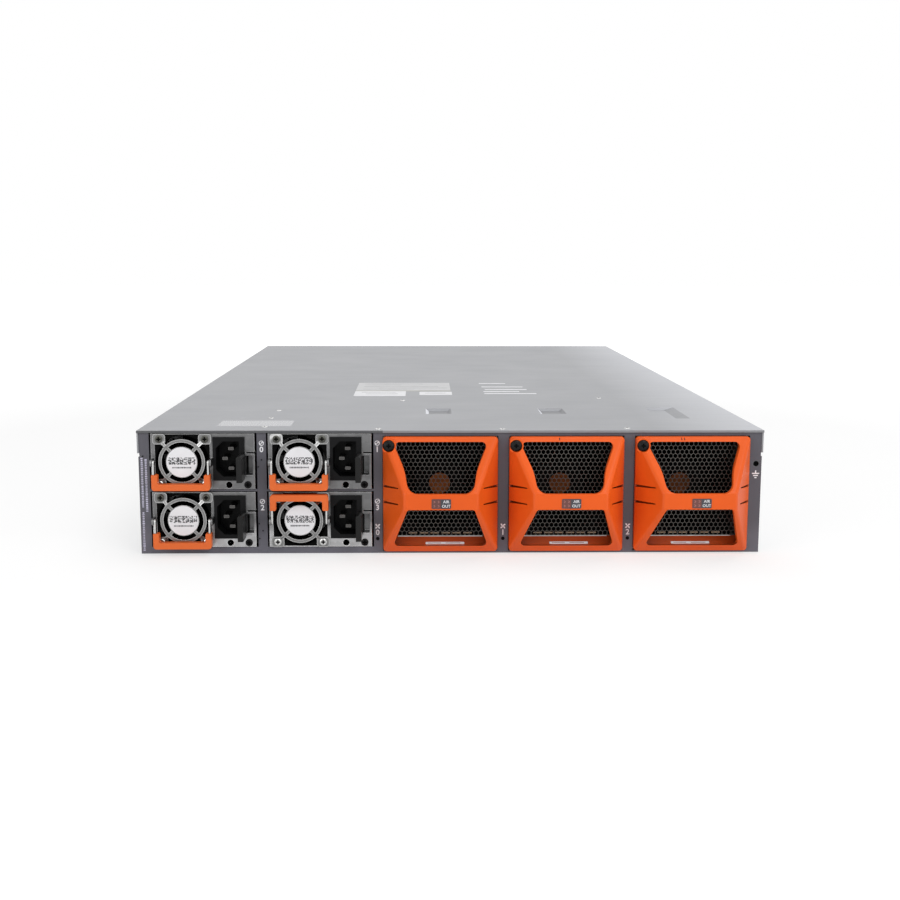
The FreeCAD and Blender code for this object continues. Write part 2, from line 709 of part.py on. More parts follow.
def management_jacks():
    """Two network jacks and a serial bus socket, set through the port panel."""
    jacks = []
    for x, z, width, height, mouth_w, mouth_h in management_places():
        body_x = (x - width / 2, x + width / 2)
        body = block(body_x, (FRONT - RJ_LENGTH, FRONT), (z - height / 2, z + height / 2))
        mouth_x = (x - mouth_w / 2, x + mouth_w / 2)
        mouth = block(mouth_x, (FRONT - RJ_MOUTH_DEPTH, FRONT + PAST), (z - mouth_h / 2, z + mouth_h / 2))
        jacks.append(body.cut(mouth))
    return Part.makeCompound(jacks)


# Power supply, in a frame whose origin is the lower left corner of its face, +Y into the chassis

def psu_fan_span(size):
    half = size / 2
    return (PSU_FAN_X - half, PSU_FAN_X + half), (PSU_FAN_Z - half, PSU_FAN_Z + half)


def inlet_span(width, height):
    middle = PSU_FAN_Z + INLET_RISE
    across = (INLET_X - width / 2, INLET_X + width / 2)
    return across, (middle - height / 2, middle + height / 2)


def inlet_pocket_span():
    """X and Z ranges of the pocket in the case that takes the inlet's body."""
    around = 2 * (INLET_WALL + INLET_GAP)
    return inlet_span(INLET_MOUTH_W + around, INLET_MOUTH_H + around)


def lever_sweep():
    """Sideways room that the lever's neck needs at the inlet's flange when it is pressed."""
    return (LEVER_PIVOT + INLET_FLANGE) * math.tan(math.radians(LEVER_TRAVEL_DEG)) + LEVER_GAP


def psu_case():
    """Folded steel case, with the fan and inlet pockets, the thumb pocket and the handle's lugs."""
    case = block((0, PSU_WIDTH), (0, PSU_LENGTH), (0, PSU_HEIGHT))
    across, up = psu_fan_span(PSU_FAN_SIZE + 2 * PSU_FAN_GAP)
    cuts = [block(across, (-PAST, PSU_FAN_DEPTH + PSU_FAN_GAP), up)]
    across, up = inlet_pocket_span()
    cuts.append(block(across, (-PAST, INLET_MOUTH_DEPTH + INLET_BACK + INLET_GAP), up))
    pocket_x = (across[1], PSU_WIDTH - POCKET_WALL)
    pocket_y = (-PAST, LEVER_PIVOT + LEVER_BARREL + LEVER_GAP)
    cuts.append(block(pocket_x, pocket_y, (POCKET_LOW, POCKET_HIGH)))
    slit_z = POCKET_HIGH + SLIT_RISE
    cuts.append(block((SLIT_X, PSU_WIDTH + PAST), (-PAST, SLIT_DEPTH), (slit_z, slit_z + SLIT_H)))
    cuts.append(rod_y(TIE_HOLE_X, TIE_HOLE_Z, (-PAST, TIE_HOLE_DEPTH), TIE_HOLE_R))
    case = case.cut(Part.makeCompound(cuts))
    added = [rod_z(LEVER_X, LEVER_PIVOT, (POCKET_LOW - PAST, POCKET_HIGH + PAST), PIN_R)]
    added += [handle_lug(side) for side in (-1, 1)]
    return fuse([case] + added)


def handle_lug(side):
    """Round-ended lug beside the fan that carries one end of the pull handle."""
    start = PSU_FAN_X + side * LUG_OFFSET
    x = sorted((start, start + side * LUG_SHEET))
    arm = block(x, (PIVOT_Y, 0), (PSU_FAN_Z - LUG_ROUND, PSU_FAN_Z + LUG_ROUND))
    lug = fuse([arm, rod_x(PIVOT_Y, PSU_FAN_Z, x, LUG_ROUND)])
    return lug.cut(rod_x(PIVOT_Y, PSU_FAN_Z, (x[0] - PAST, x[1] + PAST), PIN_R + PIN_CLEARANCE))


def diagonal_bars(x, z, y, start, end, width):
    """Four bars on the diagonals, from one distance to another from the middle."""
    bars = []
    for k in range(4):
        bar = block((start, end), y, (-width / 2, width / 2))
        bar.rotate(V(0, 0, 0), V(0, 1, 0), 45 + 90 * k)
        bar.translate(V(x, 0, z))
        bars.append(bar)
    return bars


def motor_plate(x, z, y, hub, bore, shaft):
    """Motor plate of a fan on four struts, with the bearing hole for the rotor's shaft."""
    plate = fuse([rod_y(x, z, y, hub)] + diagonal_bars(x, z, y, hub / 2, bore + STRUT / 2, STRUT))
    return plate.cut(rod_y(x, z, (y[0] + BEARING_FLOOR, y[1] + PAST), shaft + SHAFT_CLEARANCE))


def psu_fan_housing():
    """Black square fan housing with its motor plate behind the guard."""
    across, up = psu_fan_span(PSU_FAN_SIZE)
    housing = block(across, (0, PSU_FAN_DEPTH), up)
    housing = housing.cut(rod_y(PSU_FAN_X, PSU_FAN_Z, (-PAST, PSU_FAN_DEPTH + PAST), PSU_FAN_BORE))
    plate = motor_plate(PSU_FAN_X, PSU_FAN_Z, (0, HUB_PLATE), PSU_HUB, PSU_FAN_BORE, PSU_SHAFT_R)
    return fuse([housing, plate])


def psu_fan_guard():
    """Stamped finger guard: a dished disc and ring on bent diagonal spokes that end in screw ears."""
    y = (-GUARD_SHEET, 0)
    raised = (-GUARD_SHEET - GUARD_DISH, -GUARD_DISH)
    x = PSU_FAN_X
    z = PSU_FAN_Z
    ring = rod_y(x, z, raised, GUARD_RING_OUT).cut(rod_y(x, z, raised, GUARD_RING_IN))
    half = GUARD_HOLE_PITCH / 2
    shapes = [ring, rod_y(x, z, raised, GUARD_DISC)]
    bend = (GUARD_RING_OUT, GUARD_RING_OUT + GUARD_BEND)
    end = half * math.sqrt(2)
    start = GUARD_DISC - GUARD_SHEET
    profile = [(start, raised[1]), (start, raised[0]), (bend[0], raised[0]), (bend[1], y[0]),
               (end, y[0]), (end, y[1]), (bend[1], y[1]), (bend[0], raised[1])]
    for k in range(4):
        spoke = prism([V(r, depth, -STRUT / 2) for r, depth in profile], V(0, 0, STRUT))
        spoke.rotate(V(0, 0, 0), V(0, 1, 0), 45 + 90 * k)
        spoke.translate(V(x, 0, z))
        shapes.append(spoke)
    for a in (-1, 1):
        for b in (-1, 1):
            across = (x + a * half - GUARD_EAR_W / 2, x + a * half + GUARD_EAR_W / 2)
            up = (z + b * half - GUARD_EAR_H / 2, z + b * half + GUARD_EAR_H / 2)
            shapes.append(rounded_plate_y(across, up, y, GUARD_EAR_ROUND))
    return fuse(shapes)


def psu_rotor():
    y = (HUB_PLATE + HUB_GAP, PSU_FAN_DEPTH - HUB_PLATE)
    return impeller(PSU_FAN_X, PSU_FAN_Z, y, PSU_HUB, PSU_FAN_BORE, PSU_FAN_BLADES,
                    HUB_PLATE - SHAFT_INSET, PSU_SHAFT_R)


def psu_inlet():
    """Mains inlet with its flange, notched for the release lever, its keyed mouth and three blades."""
    middle = PSU_FAN_Z + INLET_RISE
    across = (INLET_FLANGE_LEFT, INLET_FLANGE_RIGHT)
    up = (middle - INLET_FLANGE_H / 2, middle + INLET_FLANGE_H / 2)
    flange = block(across, (-INLET_FLANGE, 0), up)
    notch_x = (LEVER_X - LEVER_NECK / 2 - lever_sweep(), INLET_FLANGE_RIGHT + PAST)
    flange = flange.cut(block(notch_x, (-INLET_FLANGE - PAST, PAST), (up[0] - PAST, POCKET_HIGH)))
    across, up = inlet_span(INLET_MOUTH_W + 2 * INLET_WALL, INLET_MOUTH_H + 2 * INLET_WALL)
    body = block(across, (-INLET_FLANGE, INLET_MOUTH_DEPTH + INLET_BACK), up)
    across, up = inlet_span(INLET_MOUTH_W, INLET_MOUTH_H)
    key = INLET_CHAMFER
    corners = [(across[0] + key, up[0]), (across[1], up[0]), (across[1], up[1]),
               (across[0] + key, up[1]), (across[0], up[1] - key), (across[0], up[0] + key)]
    mouth = plate_y([(x, z, 0) for x, z in corners], (-INLET_FLANGE - PAST, INLET_MOUTH_DEPTH))
    line = INLET_X + EARTH_OFFSET / 2
    places = [(line, middle + side * BLADE_PITCH / 2) for side in (-1, 1)] + [(line - EARTH_OFFSET, middle)]
    blades = []
    for x, z in places:
        span = (x - BLADE_LONG / 2, x + BLADE_LONG / 2)
        y = (BLADE_SETBACK, INLET_MOUTH_DEPTH + PAST)
        blades.append(block(span, y, (z - BLADE_THICK / 2, z + BLADE_THICK / 2)))
    return fuse([fuse([flange, body]).cut(mouth)] + blades)


def bail_half_width():
    """Distance of the handle strip's outer face from the fan's axis."""
    return LUG_OFFSET - SIDE_GAP


def psu_bail():
    """Bent steel strip of the pull handle, hanging down, with a pivot pin at each end."""
    outer = bail_half_width()
    y = (PIVOT_Y - BAIL_DEPTH / 2, PIVOT_Y + BAIL_DEPTH / 2)
    low = PSU_FAN_Z - BAIL_DROP
    across = (PSU_FAN_X - outer, PSU_FAN_X + outer)
    shapes = [block(across, y, (low - BAIL_STRIP / 2, low + BAIL_STRIP / 2))]
    for side in (-1, 1):
        face = PSU_FAN_X + side * outer
        x = sorted((face, face - side * BAIL_STRIP))
        shapes.append(block(x, y, (low - BAIL_STRIP / 2, PSU_FAN_Z)))
        shapes.append(rod_x(PIVOT_Y, PSU_FAN_Z, x, BAIL_DEPTH / 2))
        pin = sorted((face, face + side * (SIDE_GAP + LUG_SHEET)))
        shapes.append(rod_x(PIVOT_Y, PSU_FAN_Z, pin, PIN_R))
    return fuse(shapes)


def psu_grip(bail):
    """Plastic grip moulded over the lower part of the handle strip."""
    y = (PIVOT_Y - GRIP_DEPTH / 2, PIVOT_Y + GRIP_DEPTH / 2)
    outer = bail_half_width() + (GRIP_LEG - BAIL_STRIP) / 4
    low = PSU_FAN_Z - BAIL_DROP - GRIP_BAR / 2
    top = PSU_FAN_Z - GRIP_LEG_TOP
    left = PSU_FAN_X - outer
    right = PSU_FAN_X + outer
    bar_top = low + GRIP_BAR
    inside = GRIP_ROUND / 2
    corners = [(left, low, GRIP_ROUND), (right, low, GRIP_ROUND), (right, top, 0),
               (right - GRIP_LEG, top, inside), (right - GRIP_LEG, bar_top, inside),
               (left + GRIP_LEG, bar_top, inside), (left + GRIP_LEG, top, inside), (left, top, 0)]
    return plate_y(corners, y).cut(bail)


def psu_latch():
    """Release lever: a round-topped thumb tab on a neck that turns on an upright pin behind the face."""
    x = (LEVER_TAB_LEFT, LEVER_TAB_LEFT + LEVER_TAB_W)
    corners = [(x[0], LEVER_BOTTOM, 0), (x[1], LEVER_BOTTOM, 0), (x[1], LEVER_TOP, LEVER_ROUND),
               (x[0], LEVER_TOP, LEVER_ROUND)]
    tab = plate_y(corners, (-LEVER_REACH, -LEVER_STANDOFF))
    z = (POCKET_LOW + LEVER_GAP, POCKET_HIGH - LEVER_GAP)
    neck_x = (LEVER_X - LEVER_NECK / 2, LEVER_X + LEVER_NECK / 2)
    neck = block(neck_x, (-LEVER_STANDOFF, LEVER_PIVOT), z)
    lever = fuse([tab, neck, rod_z(LEVER_X, LEVER_PIVOT, z, LEVER_BARREL)])
    return lever.cut(rod_z(LEVER_X, LEVER_PIVOT, (POCKET_LOW, POCKET_HIGH), PIN_R + PIN_CLEARANCE))


# Fan module, in a frame with X from its middle, Z from its underside and Y from the rear frame's face

def hipped_block(half_w, low, high, edge, ridge_half_w, ridge_half_h, reach):
    """Block from the skirt's back that rises past its edge, along four hips, to a flat panel."""
    middle = (low + high) / 2
    across = [V(-half_w, SKIRT, low), V(-half_w, -edge, low), V(-ridge_half_w, -reach, low),
              V(ridge_half_w, -reach, low), V(half_w, -edge, low), V(half_w, SKIRT, low)]
    upright = [V(-half_w, SKIRT, low), V(-half_w, -edge, low), V(-half_w, -reach, middle - ridge_half_h),
               V(-half_w, -reach, middle + ridge_half_h), V(-half_w, -edge, high), V(-half_w, SKIRT, high)]
    return prism(across, V(0, 0, high - low)).common(prism(upright, V(2 * half_w, 0, 0)))


def bezel_shell():
    """Hollow hipped shell: its flat front panel is the handle's bar, and its hips are the arms."""
    half = FAN_WIDTH / 2
    outer = hipped_block(half, 0, FAN_HEIGHT, RIM_PROUD, HANDLE_HALF_W, HANDLE_BAR / 2, HANDLE_REACH)
    hips = [e for e in outer.Edges if e.BoundBox.YMin < -RIM_PROUD - PAST]
    outer = outer.makeFillet(HIP_ROUND, hips)
    inner = hipped_block(half - RIM, RIM, FAN_HEIGHT - RIM, 0, HANDLE_HALF_W - RIM,
                         HANDLE_BAR / 2 - BAR_WALL, HANDLE_REACH - HANDLE_WALL)
    core = hipped_block(half - GROOVE_DEPTH, 0, FAN_HEIGHT, RIM_PROUD, HANDLE_HALF_W - GROOVE_DEPTH,
                        HANDLE_BAR, HANDLE_REACH)
    shell = outer.cut(inner)
    for side in (-1, 1):
        for step in (-1, 1):
            mouth = FAN_MID + GROOVE_SHIFT + step * GROOVE_PITCH / 2
            tip = mouth + GROOVE_RISE
            edge = side * half
            end = side * (half - GROOVE_LENGTH)
            corners = [(edge, mouth - GROOVE_MOUTH / 2), (end, tip - GROOVE_TIP / 2),
                       (end, tip + GROOVE_TIP / 2), (edge, mouth + GROOVE_MOUTH / 2)]
            groove = prism([V(x, -HANDLE_REACH, z) for x, z in corners], V(0, HANDLE_REACH, 0))
            shell = shell.cut(groove.cut(core))
    return shell


def window(right):
    """Air window through the shell, from the (x, z, radius) corners of its right-hand side."""
    left = [(-x, z, radius) for x, z, radius in reversed(right)]
    return plate_y(right + left, (-HANDLE_REACH - PAST, 0))


def air_windows():
    """Air windows above and below the handle's bar, wide at the rim and narrow at the bar."""
    edge = HANDLE_BAR / 2 - BAR_EDGE
    upper = window([(WINDOW_RIM_HALF, FAN_HEIGHT - RIM, WINDOW_RIM_ROUND),
                    (WINDOW_WAIST_HALF, FAN_MID + WINDOW_WAIST_RISE, WINDOW_WAIST_ROUND),
                    (UPPER_WINDOW_BAR_HALF, FAN_MID + edge, UPPER_WINDOW_BAR_ROUND)])
    lower = window([(WINDOW_RIM_HALF, LOWER_WINDOW_EDGE, WINDOW_RIM_ROUND),
                    (LOWER_WINDOW_BAR_HALF, FAN_MID - edge, LOWER_WINDOW_BAR_ROUND)])
    return Part.makeCompound([upper, lower])


def fan_bezel():
    """Moulded bezel: skirt that enters the bay, hipped handle shell, air windows, sill and screw boss."""
    half = FAN_WIDTH / 2
    skirt = rounded_plate_y((-half, half), (0, FAN_HEIGHT), (-RIM_PROUD, SKIRT), RIM_ROUND)
    hole = block((-half + RIM, half - RIM), (-RIM_PROUD - PAST, SKIRT + PAST), (RIM, FAN_HEIGHT - RIM))
    outside = rounded_plate_y((-half, half), (0, FAN_HEIGHT), (-HANDLE_REACH - PAST, SKIRT), RIM_ROUND)
    shell = bezel_shell().common(outside).cut(air_windows())
    sill_y = SKIRT - GRILLE_SHEET
    left = -half + RIM
    ramp = [V(left, -RIM_PROUD, RIM), V(left, sill_y, RIM), V(left, sill_y, LOWER_WINDOW_EDGE + SILL_RISE),
            V(left, -RIM_PROUD, LOWER_WINDOW_EDGE)]
    sill = prism(ramp, V(FAN_WIDTH - 2 * RIM, 0, 0))
    boss = rod_y(SCREW_X, SCREW_Z, (-SCREW_BOSS_PROUD, SKIRT), SCREW_BOSS_R).common(outside)
    bezel = fuse([skirt.cut(hole), shell, sill, boss])
    seat = rod_y(SCREW_X, SCREW_Z, (-HANDLE_REACH, -SCREW_SEAT), SCREW_KNOB_R + SCREW_KNOB_GAP)
    return bezel.cut(fuse([seat, rod_y(SCREW_X, SCREW_Z, (-SCREW_SEAT, SKIRT + PAST), SCREW_HOLE_R)]))


def fan_grille():
    """Honeycomb plate behind the bezel's windows, cut away round the screw boss."""
    half = FAN_WIDTH / 2 - RIM - GRILLE_GAP
    z = (RIM + GRILLE_GAP, FAN_HEIGHT - RIM - GRILLE_GAP)
    y = SKIRT - GRILLE_SHEET
    rim = [V(-half, y, z[0]), V(half, y, z[0]), V(half, y, z[1]), V(-half, y, z[1])]
    wires = [Part.makePolygon(rim + rim[:1])]
    keep_clear = SCREW_BOSS_R + GRILLE_GAP + GRILLE_PITCH / 2
    for x_cell, z_cell in honeycomb((-half, half), z, GRILLE_PITCH):
        if math.hypot(x_cell - SCREW_X, z_cell - SCREW_Z) > keep_clear:
            wires.append(hexagon(x_cell, z_cell, y, GRILLE_PITCH - GRILLE_WEB))
    plate = Part.makeFace(wires, "Part::FaceMakerBullseye").extrude(V(0, GRILLE_SHEET, 0))
    return plate.cut(rod_y(SCREW_X, SCREW_Z, (y - PAST, SKIRT + PAST), SCREW_BOSS_R + GRILLE_GAP))


def sled_notch(y):
    """Corner of the module that stays clear of the screw tab."""
    right = -FAN_WIDTH / 2 - BAY_CLEARANCE + TAB + NOTCH_GAP
    low = FAN_HEIGHT - SCREW_DROP - TAB / 2 - NOTCH_GAP
    return block((-FAN_WIDTH, right), y, (low, 2 * FAN_HEIGHT))


def sled_span(inset):
    half = FAN_WIDTH / 2 - SLED_INSET - inset
    return (-half, half), (SLED_INSET + inset, FAN_HEIGHT - SLED_INSET - inset)


def fan_sled():
    """Folded sleeve of the module, with a lip that carries the grille and a corner notched full length."""
    across, up = sled_span(0)
    sleeve = block(across, (SKIRT, FAN_LENGTH), up).cut(sled_notch((0, FAN_LENGTH + PAST)))
    across, up = sled_span(SLED_SHEET)
    grow = SLED_SHEET
    hollow = block(across, (SKIRT + SLED_SHEET, FAN_LENGTH + PAST), up)
    notch = sled_notch((0, FAN_LENGTH + 2 * PAST))
    notch.translate(V(grow, 0, -grow))
    hollow = hollow.cut(notch)
    across, up = sled_span(SLED_LIP)
    mouth = block(across, (SKIRT - PAST, SKIRT + SLED_SHEET + PAST), up).cut(notch)
    return sleeve.cut(hollow).cut(mouth)


def fan_frame():
    """Axial fan housing that fills the sled, with its motor plate on the outlet side."""
    across, up = sled_span(SLED_SHEET + FAN_FRAME_GAP)
    y = (FAN_SETBACK, FAN_SETBACK + FAN_FRAME_DEPTH)
    notch = sled_notch((0, FAN_LENGTH))
    notch.translate(V(SLED_SHEET + FAN_FRAME_GAP, 0, -SLED_SHEET - FAN_FRAME_GAP))
    frame = block(across, y, up).cut(notch)
    frame = frame.cut(rod_y(0, FAN_MID, (y[0] - PAST, y[1] + PAST), FAN_BORE))
    plate = motor_plate(0, FAN_MID, (y[0], y[0] + HUB_PLATE), FAN_HUB, FAN_BORE, SHAFT_R)
    return fuse([frame, plate])


def fan_rotor():
    y = (FAN_SETBACK + HUB_PLATE + HUB_GAP, FAN_SETBACK + FAN_FRAME_DEPTH - HUB_PLATE)
    shaft_end = FAN_SETBACK + HUB_PLATE - SHAFT_INSET
    return impeller(0, FAN_MID, y, FAN_HUB, FAN_BORE, FAN_BLADES, shaft_end, SHAFT_R)


def fan_screw():
    """Captive screw: a round knob seated in the boss and a shank that reaches the chassis tab."""
    knob_y = (-SCREW_SEAT - SCREW_KNOB, -SCREW_SEAT)
    knob = rod_y(SCREW_X, SCREW_Z, knob_y, SCREW_KNOB_R)
    rim = [e for e in knob.Edges if e.BoundBox.YMax < knob_y[0] + SCREW_KNOB / 2]
    knob = knob.makeFillet(SCREW_KNOB_ROUND, rim)
    return fuse([knob, rod_y(SCREW_X, SCREW_Z, (knob_y[1], SCREW_LENGTH), SCREW_SHANK_R)])


# Assembly

def psu_nodes():
    """The four power supplies; the handle of the last one is swung up, those of the others hang down."""
    bail = psu_bail()
    pieces = {"case": psu_case(), "fan_housing": psu_fan_housing(), "fan_guard": psu_fan_guard(),
              "rotor": psu_rotor(), "inlet": psu_inlet(), "bail": bail, "grip": psu_grip(bail),
              "latch": psu_latch()}
    nodes = {}
    places = [(x, z) for z in reversed(PSU_BAYS_Z) for x in PSU_BAYS_X]
    for i, (x, z) in enumerate(places):
        corner = V(x + PSU_SIDE_CLEARANCE, REAR - PSU_PROUD, z + BAY_CLEARANCE)
        for piece, shape in pieces.items():
            copy = shape.copy()
            if piece in ("bail", "grip") and i == len(places) - 1:
                copy.rotate(V(0, PIVOT_Y, PSU_FAN_Z), V(1, 0, 0), 180)
            copy.translate(corner)
            nodes[f"psu_{i}_{piece}"] = copy
    return nodes


def fan_nodes():
    pieces = {"bezel": fan_bezel(), "grille": fan_grille(), "sled": fan_sled(), "frame": fan_frame(),
              "rotor": fan_rotor(), "captive_screw": fan_screw()}
    nodes = {}
    for i, x in enumerate(FAN_BAYS_X):
        corner = V(x + FAN_BAY_W / 2, REAR, FAN_FLOOR + BAY_CLEARANCE)
        for piece, shape in pieces.items():
            copy = shape.copy()
            copy.translate(corner)
            nodes[f"fan_{i}_{piece}"] = copy
    return nodes


def all_nodes():
    nodes = {maker.__name__: maker() for maker in (
        chassis_tray, top_cover, rear_frame, esd_jack, bay_dividers, main_boards,
        front_panel, port_cages, dust_plugs, management_jacks)}
    nodes.update(psu_nodes())
    nodes.update(fan_nodes())
    return nodes


os.makedirs("parts", exist_ok=True)
for name, shape in all_nodes().items():
    shape.exportStep(f"parts/{name}.step")
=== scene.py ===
"""Looks of a two-unit rack router: finishes, fine grilles, screws, labels and marks around its solids.

Metres, in the frame of the solids: +Z up, with the service side (power supplies and fans) facing -Y.
"""

import json
import math
import random

import bmesh
import bpy
from mathutils import Matrix, Vector


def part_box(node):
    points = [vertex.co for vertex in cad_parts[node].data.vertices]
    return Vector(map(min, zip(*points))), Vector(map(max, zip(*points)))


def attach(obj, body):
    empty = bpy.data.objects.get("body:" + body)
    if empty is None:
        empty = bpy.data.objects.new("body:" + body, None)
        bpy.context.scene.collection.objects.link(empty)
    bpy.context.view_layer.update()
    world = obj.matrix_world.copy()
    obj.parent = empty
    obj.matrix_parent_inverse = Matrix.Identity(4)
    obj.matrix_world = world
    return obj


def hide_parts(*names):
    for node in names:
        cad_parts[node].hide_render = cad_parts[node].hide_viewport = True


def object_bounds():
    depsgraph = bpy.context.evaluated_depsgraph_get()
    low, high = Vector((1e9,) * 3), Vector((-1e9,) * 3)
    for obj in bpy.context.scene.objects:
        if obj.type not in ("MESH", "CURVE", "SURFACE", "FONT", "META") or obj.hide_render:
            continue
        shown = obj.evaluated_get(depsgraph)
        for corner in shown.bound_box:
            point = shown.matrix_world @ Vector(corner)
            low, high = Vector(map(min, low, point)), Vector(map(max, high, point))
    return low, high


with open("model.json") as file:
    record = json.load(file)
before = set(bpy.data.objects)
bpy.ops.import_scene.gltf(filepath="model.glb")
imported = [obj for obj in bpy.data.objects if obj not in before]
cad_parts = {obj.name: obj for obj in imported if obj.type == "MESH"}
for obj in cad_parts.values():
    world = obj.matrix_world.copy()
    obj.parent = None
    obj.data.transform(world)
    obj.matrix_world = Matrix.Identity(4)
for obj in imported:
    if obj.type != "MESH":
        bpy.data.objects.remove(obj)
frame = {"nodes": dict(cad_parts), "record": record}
cad_low, cad_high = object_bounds()

MM = 0.001
RECORD = frame["record"]
NODES = frame["nodes"]
PSU_COUNT = 4
FAN_COUNT = 3

# Camera of the photograph: place from the service face, turn in radians, lens, sensor and near limit
CAMERA_PLACE = Vector((-21.618, -897.876, 214.775)) * MM
CAMERA_PITCH = -0.15543
CAMERA_YAW = -0.02267
CAMERA_ROLL = 0.00233
CAMERA_LENS = 51.657
CAMERA_SENSOR = 36.0
CAMERA_NEAR = 0.05

# Thickness of printed marks, stickers and plates
PRINT = 0.06 * MM
STICKER = 0.15 * MM
PLATE = 0.35 * MM
# Distance in front of the object from which faces are looked for
RAY_START = 0.1

# Screw heads: sides, profile as shares of (radius, height), and the cross recess in shares of these
SCREW_SIDES = 28
SCREW_PROFILE = [(1.0, 0.0), (1.0, 0.45), (0.93, 0.75), (0.78, 1.0)]
RECESS_ARM = 1.2
RECESS_SLOT = 0.42
RECESS_FLOOR = 0.2

# Letters: steps of their curves, and what thickens words and digits in shares of their size
LETTER_STEPS = 3
WORD_BOLD = 0.008
DIGIT_BOLD = 0.02

# Fan module details; the first three lists hold one offset from the module's middle for each module
AIR_PLATE_SHIFT = [0.2 * MM, 0.4 * MM, 1.1 * MM]
STRIP_SHIFT = [3.3 * MM, 2.3 * MM, 0.1 * MM]
TICK_SHIFT = [[], [-5.5 * MM], [-8.5 * MM, -6.5 * MM]]
AIR_PLATE_W = 13.2 * MM
AIR_PLATE_H = 6.6 * MM
AIR_PLATE_DROP = 1.1 * MM
AIR_PLATE_ROUND = 0.7 * MM
AIR_WORD_SIZE = 2.75 * MM
# On the air plate, in shares of its size: red field as (width, height, shift), arrows and words
AIR_FIELD = (0.44, 0.88, -0.25)
ARROW_COLUMNS = (-0.36, -0.14)
ARROW_ROWS = (-0.22, 0.22)
AIR_WORD_SHIFT = 0.25
AIR_WORDS = (("AIR", 0.22), ("OUT", -0.24))
ARROW_SIZE = 1.5 * MM
ARROW_LINE = 0.32
# Strip label, with its two print lines as shares of its width
STRIP_W = 27.4 * MM
STRIP_H = 2.0 * MM
STRIP_RISE = 5.6 * MM
STRIP_ROUND = 0.5 * MM
STRIP_LINES = ((-0.44, -0.10), (0.02, 0.40))
STRIP_LINE_H = 0.5 * MM
# Position ticks on the upper rim
TICK_W = 0.55 * MM
TICK_H = 2.2 * MM
TICK_DROP = 1.5 * MM
# Honeycomb, with the corner cut away for the screw's boss
MESH_PITCH = 3.2 * MM
MESH_WEB = 0.36 * MM
MESH_STRETCH = 1.055
MESH_BORDER = 0.5 * MM
MESH_SHEET = 0.3 * MM
BOSS_NOTCH_W = 4.0 * MM
BOSS_NOTCH_H = 11.2 * MM
# Cap on the screw's knob, hub label with a painted shade tone in each module, and the strip and tabs at the
# sill
KNOB_CAP_R = 2.6 * MM
KNOB_CAP_H = 0.5 * MM
HUB_LABEL_R = 7.8 * MM
HUB_LABEL_SHADE_TONES = [0.9, 0.63, 0.43]
SILL_RISE = 9.7 * MM
SILL_W = 60.0 * MM
SILL_STRIP_H = 0.6 * MM
SILL_STRIP_SHEET = 0.3 * MM
SILL_TABS = 6
SILL_TAB_W = 6.0 * MM
SILL_TAB_H = 0.9 * MM
SILL_TAB_PITCH = 7.8 * MM
SILL_TAB_RISE = 2.1 * MM
SILL_TAB_SHEET = 0.4 * MM

# Label on a supply's guard: its disc, a code block of some glyphs and a line of dashes below it
GUARD_LABEL_R = 10.5 * MM
GUARD_LABEL_SIDES = 56
GUARD_LABEL_SEED = 20
CODE_GLYPHS = 7
GLYPH_COLUMNS = 4
CODE_ROWS = 8
CODE_CELL = 0.62 * MM
CODE_SQUARE = 0.61 * MM
CODE_FILL = 0.6
GLYPH_GAP = 0.3 * MM
CODE_RISE = 0.9 * MM
WORD_LINE_W = 13.4 * MM
WORD_LINE_H = 1.2 * MM
WORD_LINE_DROP = 3.8 * MM
# Uneven dashes, in shares of their line's height
DASH_WIDTHS = (0.35, 0.75)
DASH_HEIGHTS = (0.7, 1.0)
DASH_GAP = 0.25
# Screws of a supply, skins of its inlet's blades from root to tip, and the black tube of painted shade in
# its cord hole
GUARD_SCREW_OFFSET = 16.0 * MM
GUARD_SCREW_R = 2.6 * MM
GUARD_SCREW_H = 0.8 * MM
CORNER_SCREW_X = 67.3 * MM
CORNER_SCREW_Z = 3.0 * MM
CORNER_SCREW_R = 2.6 * MM
CORNER_SCREW_H = 1.0 * MM
BLADE_PLACES = [(2.1 * MM, 7.0 * MM), (2.1 * MM, -7.0 * MM), (-2.1 * MM, 0.0)]
BLADE_SKIN_W = 3.7 * MM
BLADE_SKIN_H = 2.1 * MM
BLADE_SKIN_ROUND = 0.5 * MM
BLADE_TIP = -2.95 * MM
BLADE_ROOT = -16.9 * MM
HOLE_SHADE_WALL = 0.15 * MM

# Power icon: radius and sides of its ring, then in shares of the radius the ring's hole and the wave
ICON_R = 1.8 * MM
ICON_SIDES = 28
RING_HOLE = 0.76
WAVE_REACH = 0.7
WAVE_STEPS = 14
WAVE_HEIGHT = 0.42
WAVE_LINE = 0.26
# Fan icon: radius, turn of its blades in degrees, then in shares of the radius its hub and flattened blades
FAN_ICON_R = 2.1 * MM
FAN_ICON_BLADES = 4
FAN_ICON_TURN = 30
FAN_ICON_HUB = 0.24
FAN_BLADE_PLACE = (0.62, 0.16)
FAN_BLADE_R = 0.46
FAN_BLADE_FLAT = 0.6
FAN_BLADE_SIDES = 12
# Marks on the posts: sides of round ones, drops below a supply's top and heights above the underside
DOT_SIDES = 24
PIN_SIDES = 16
DIGIT = 5.5 * MM
LED_R = 1.25 * MM
PSU_ICON_DROP = 7.0 * MM
PSU_DIGIT_DROP = 11.6 * MM
FAN_ICON_Z = 19.3 * MM
FAN_DIGIT_Z = 14.7 * MM
LED_Z = 10.4 * MM
PIN_HOLE_R = 0.55 * MM
PIN_HOLES = [(-133.7 * MM, 67.2 * MM), (-136.1 * MM, 62.2 * MM), (-136.2 * MM, 21.4 * MM),
             (-133.6 * MM, 16.3 * MM), (-136.0 * MM, 10.6 * MM)]
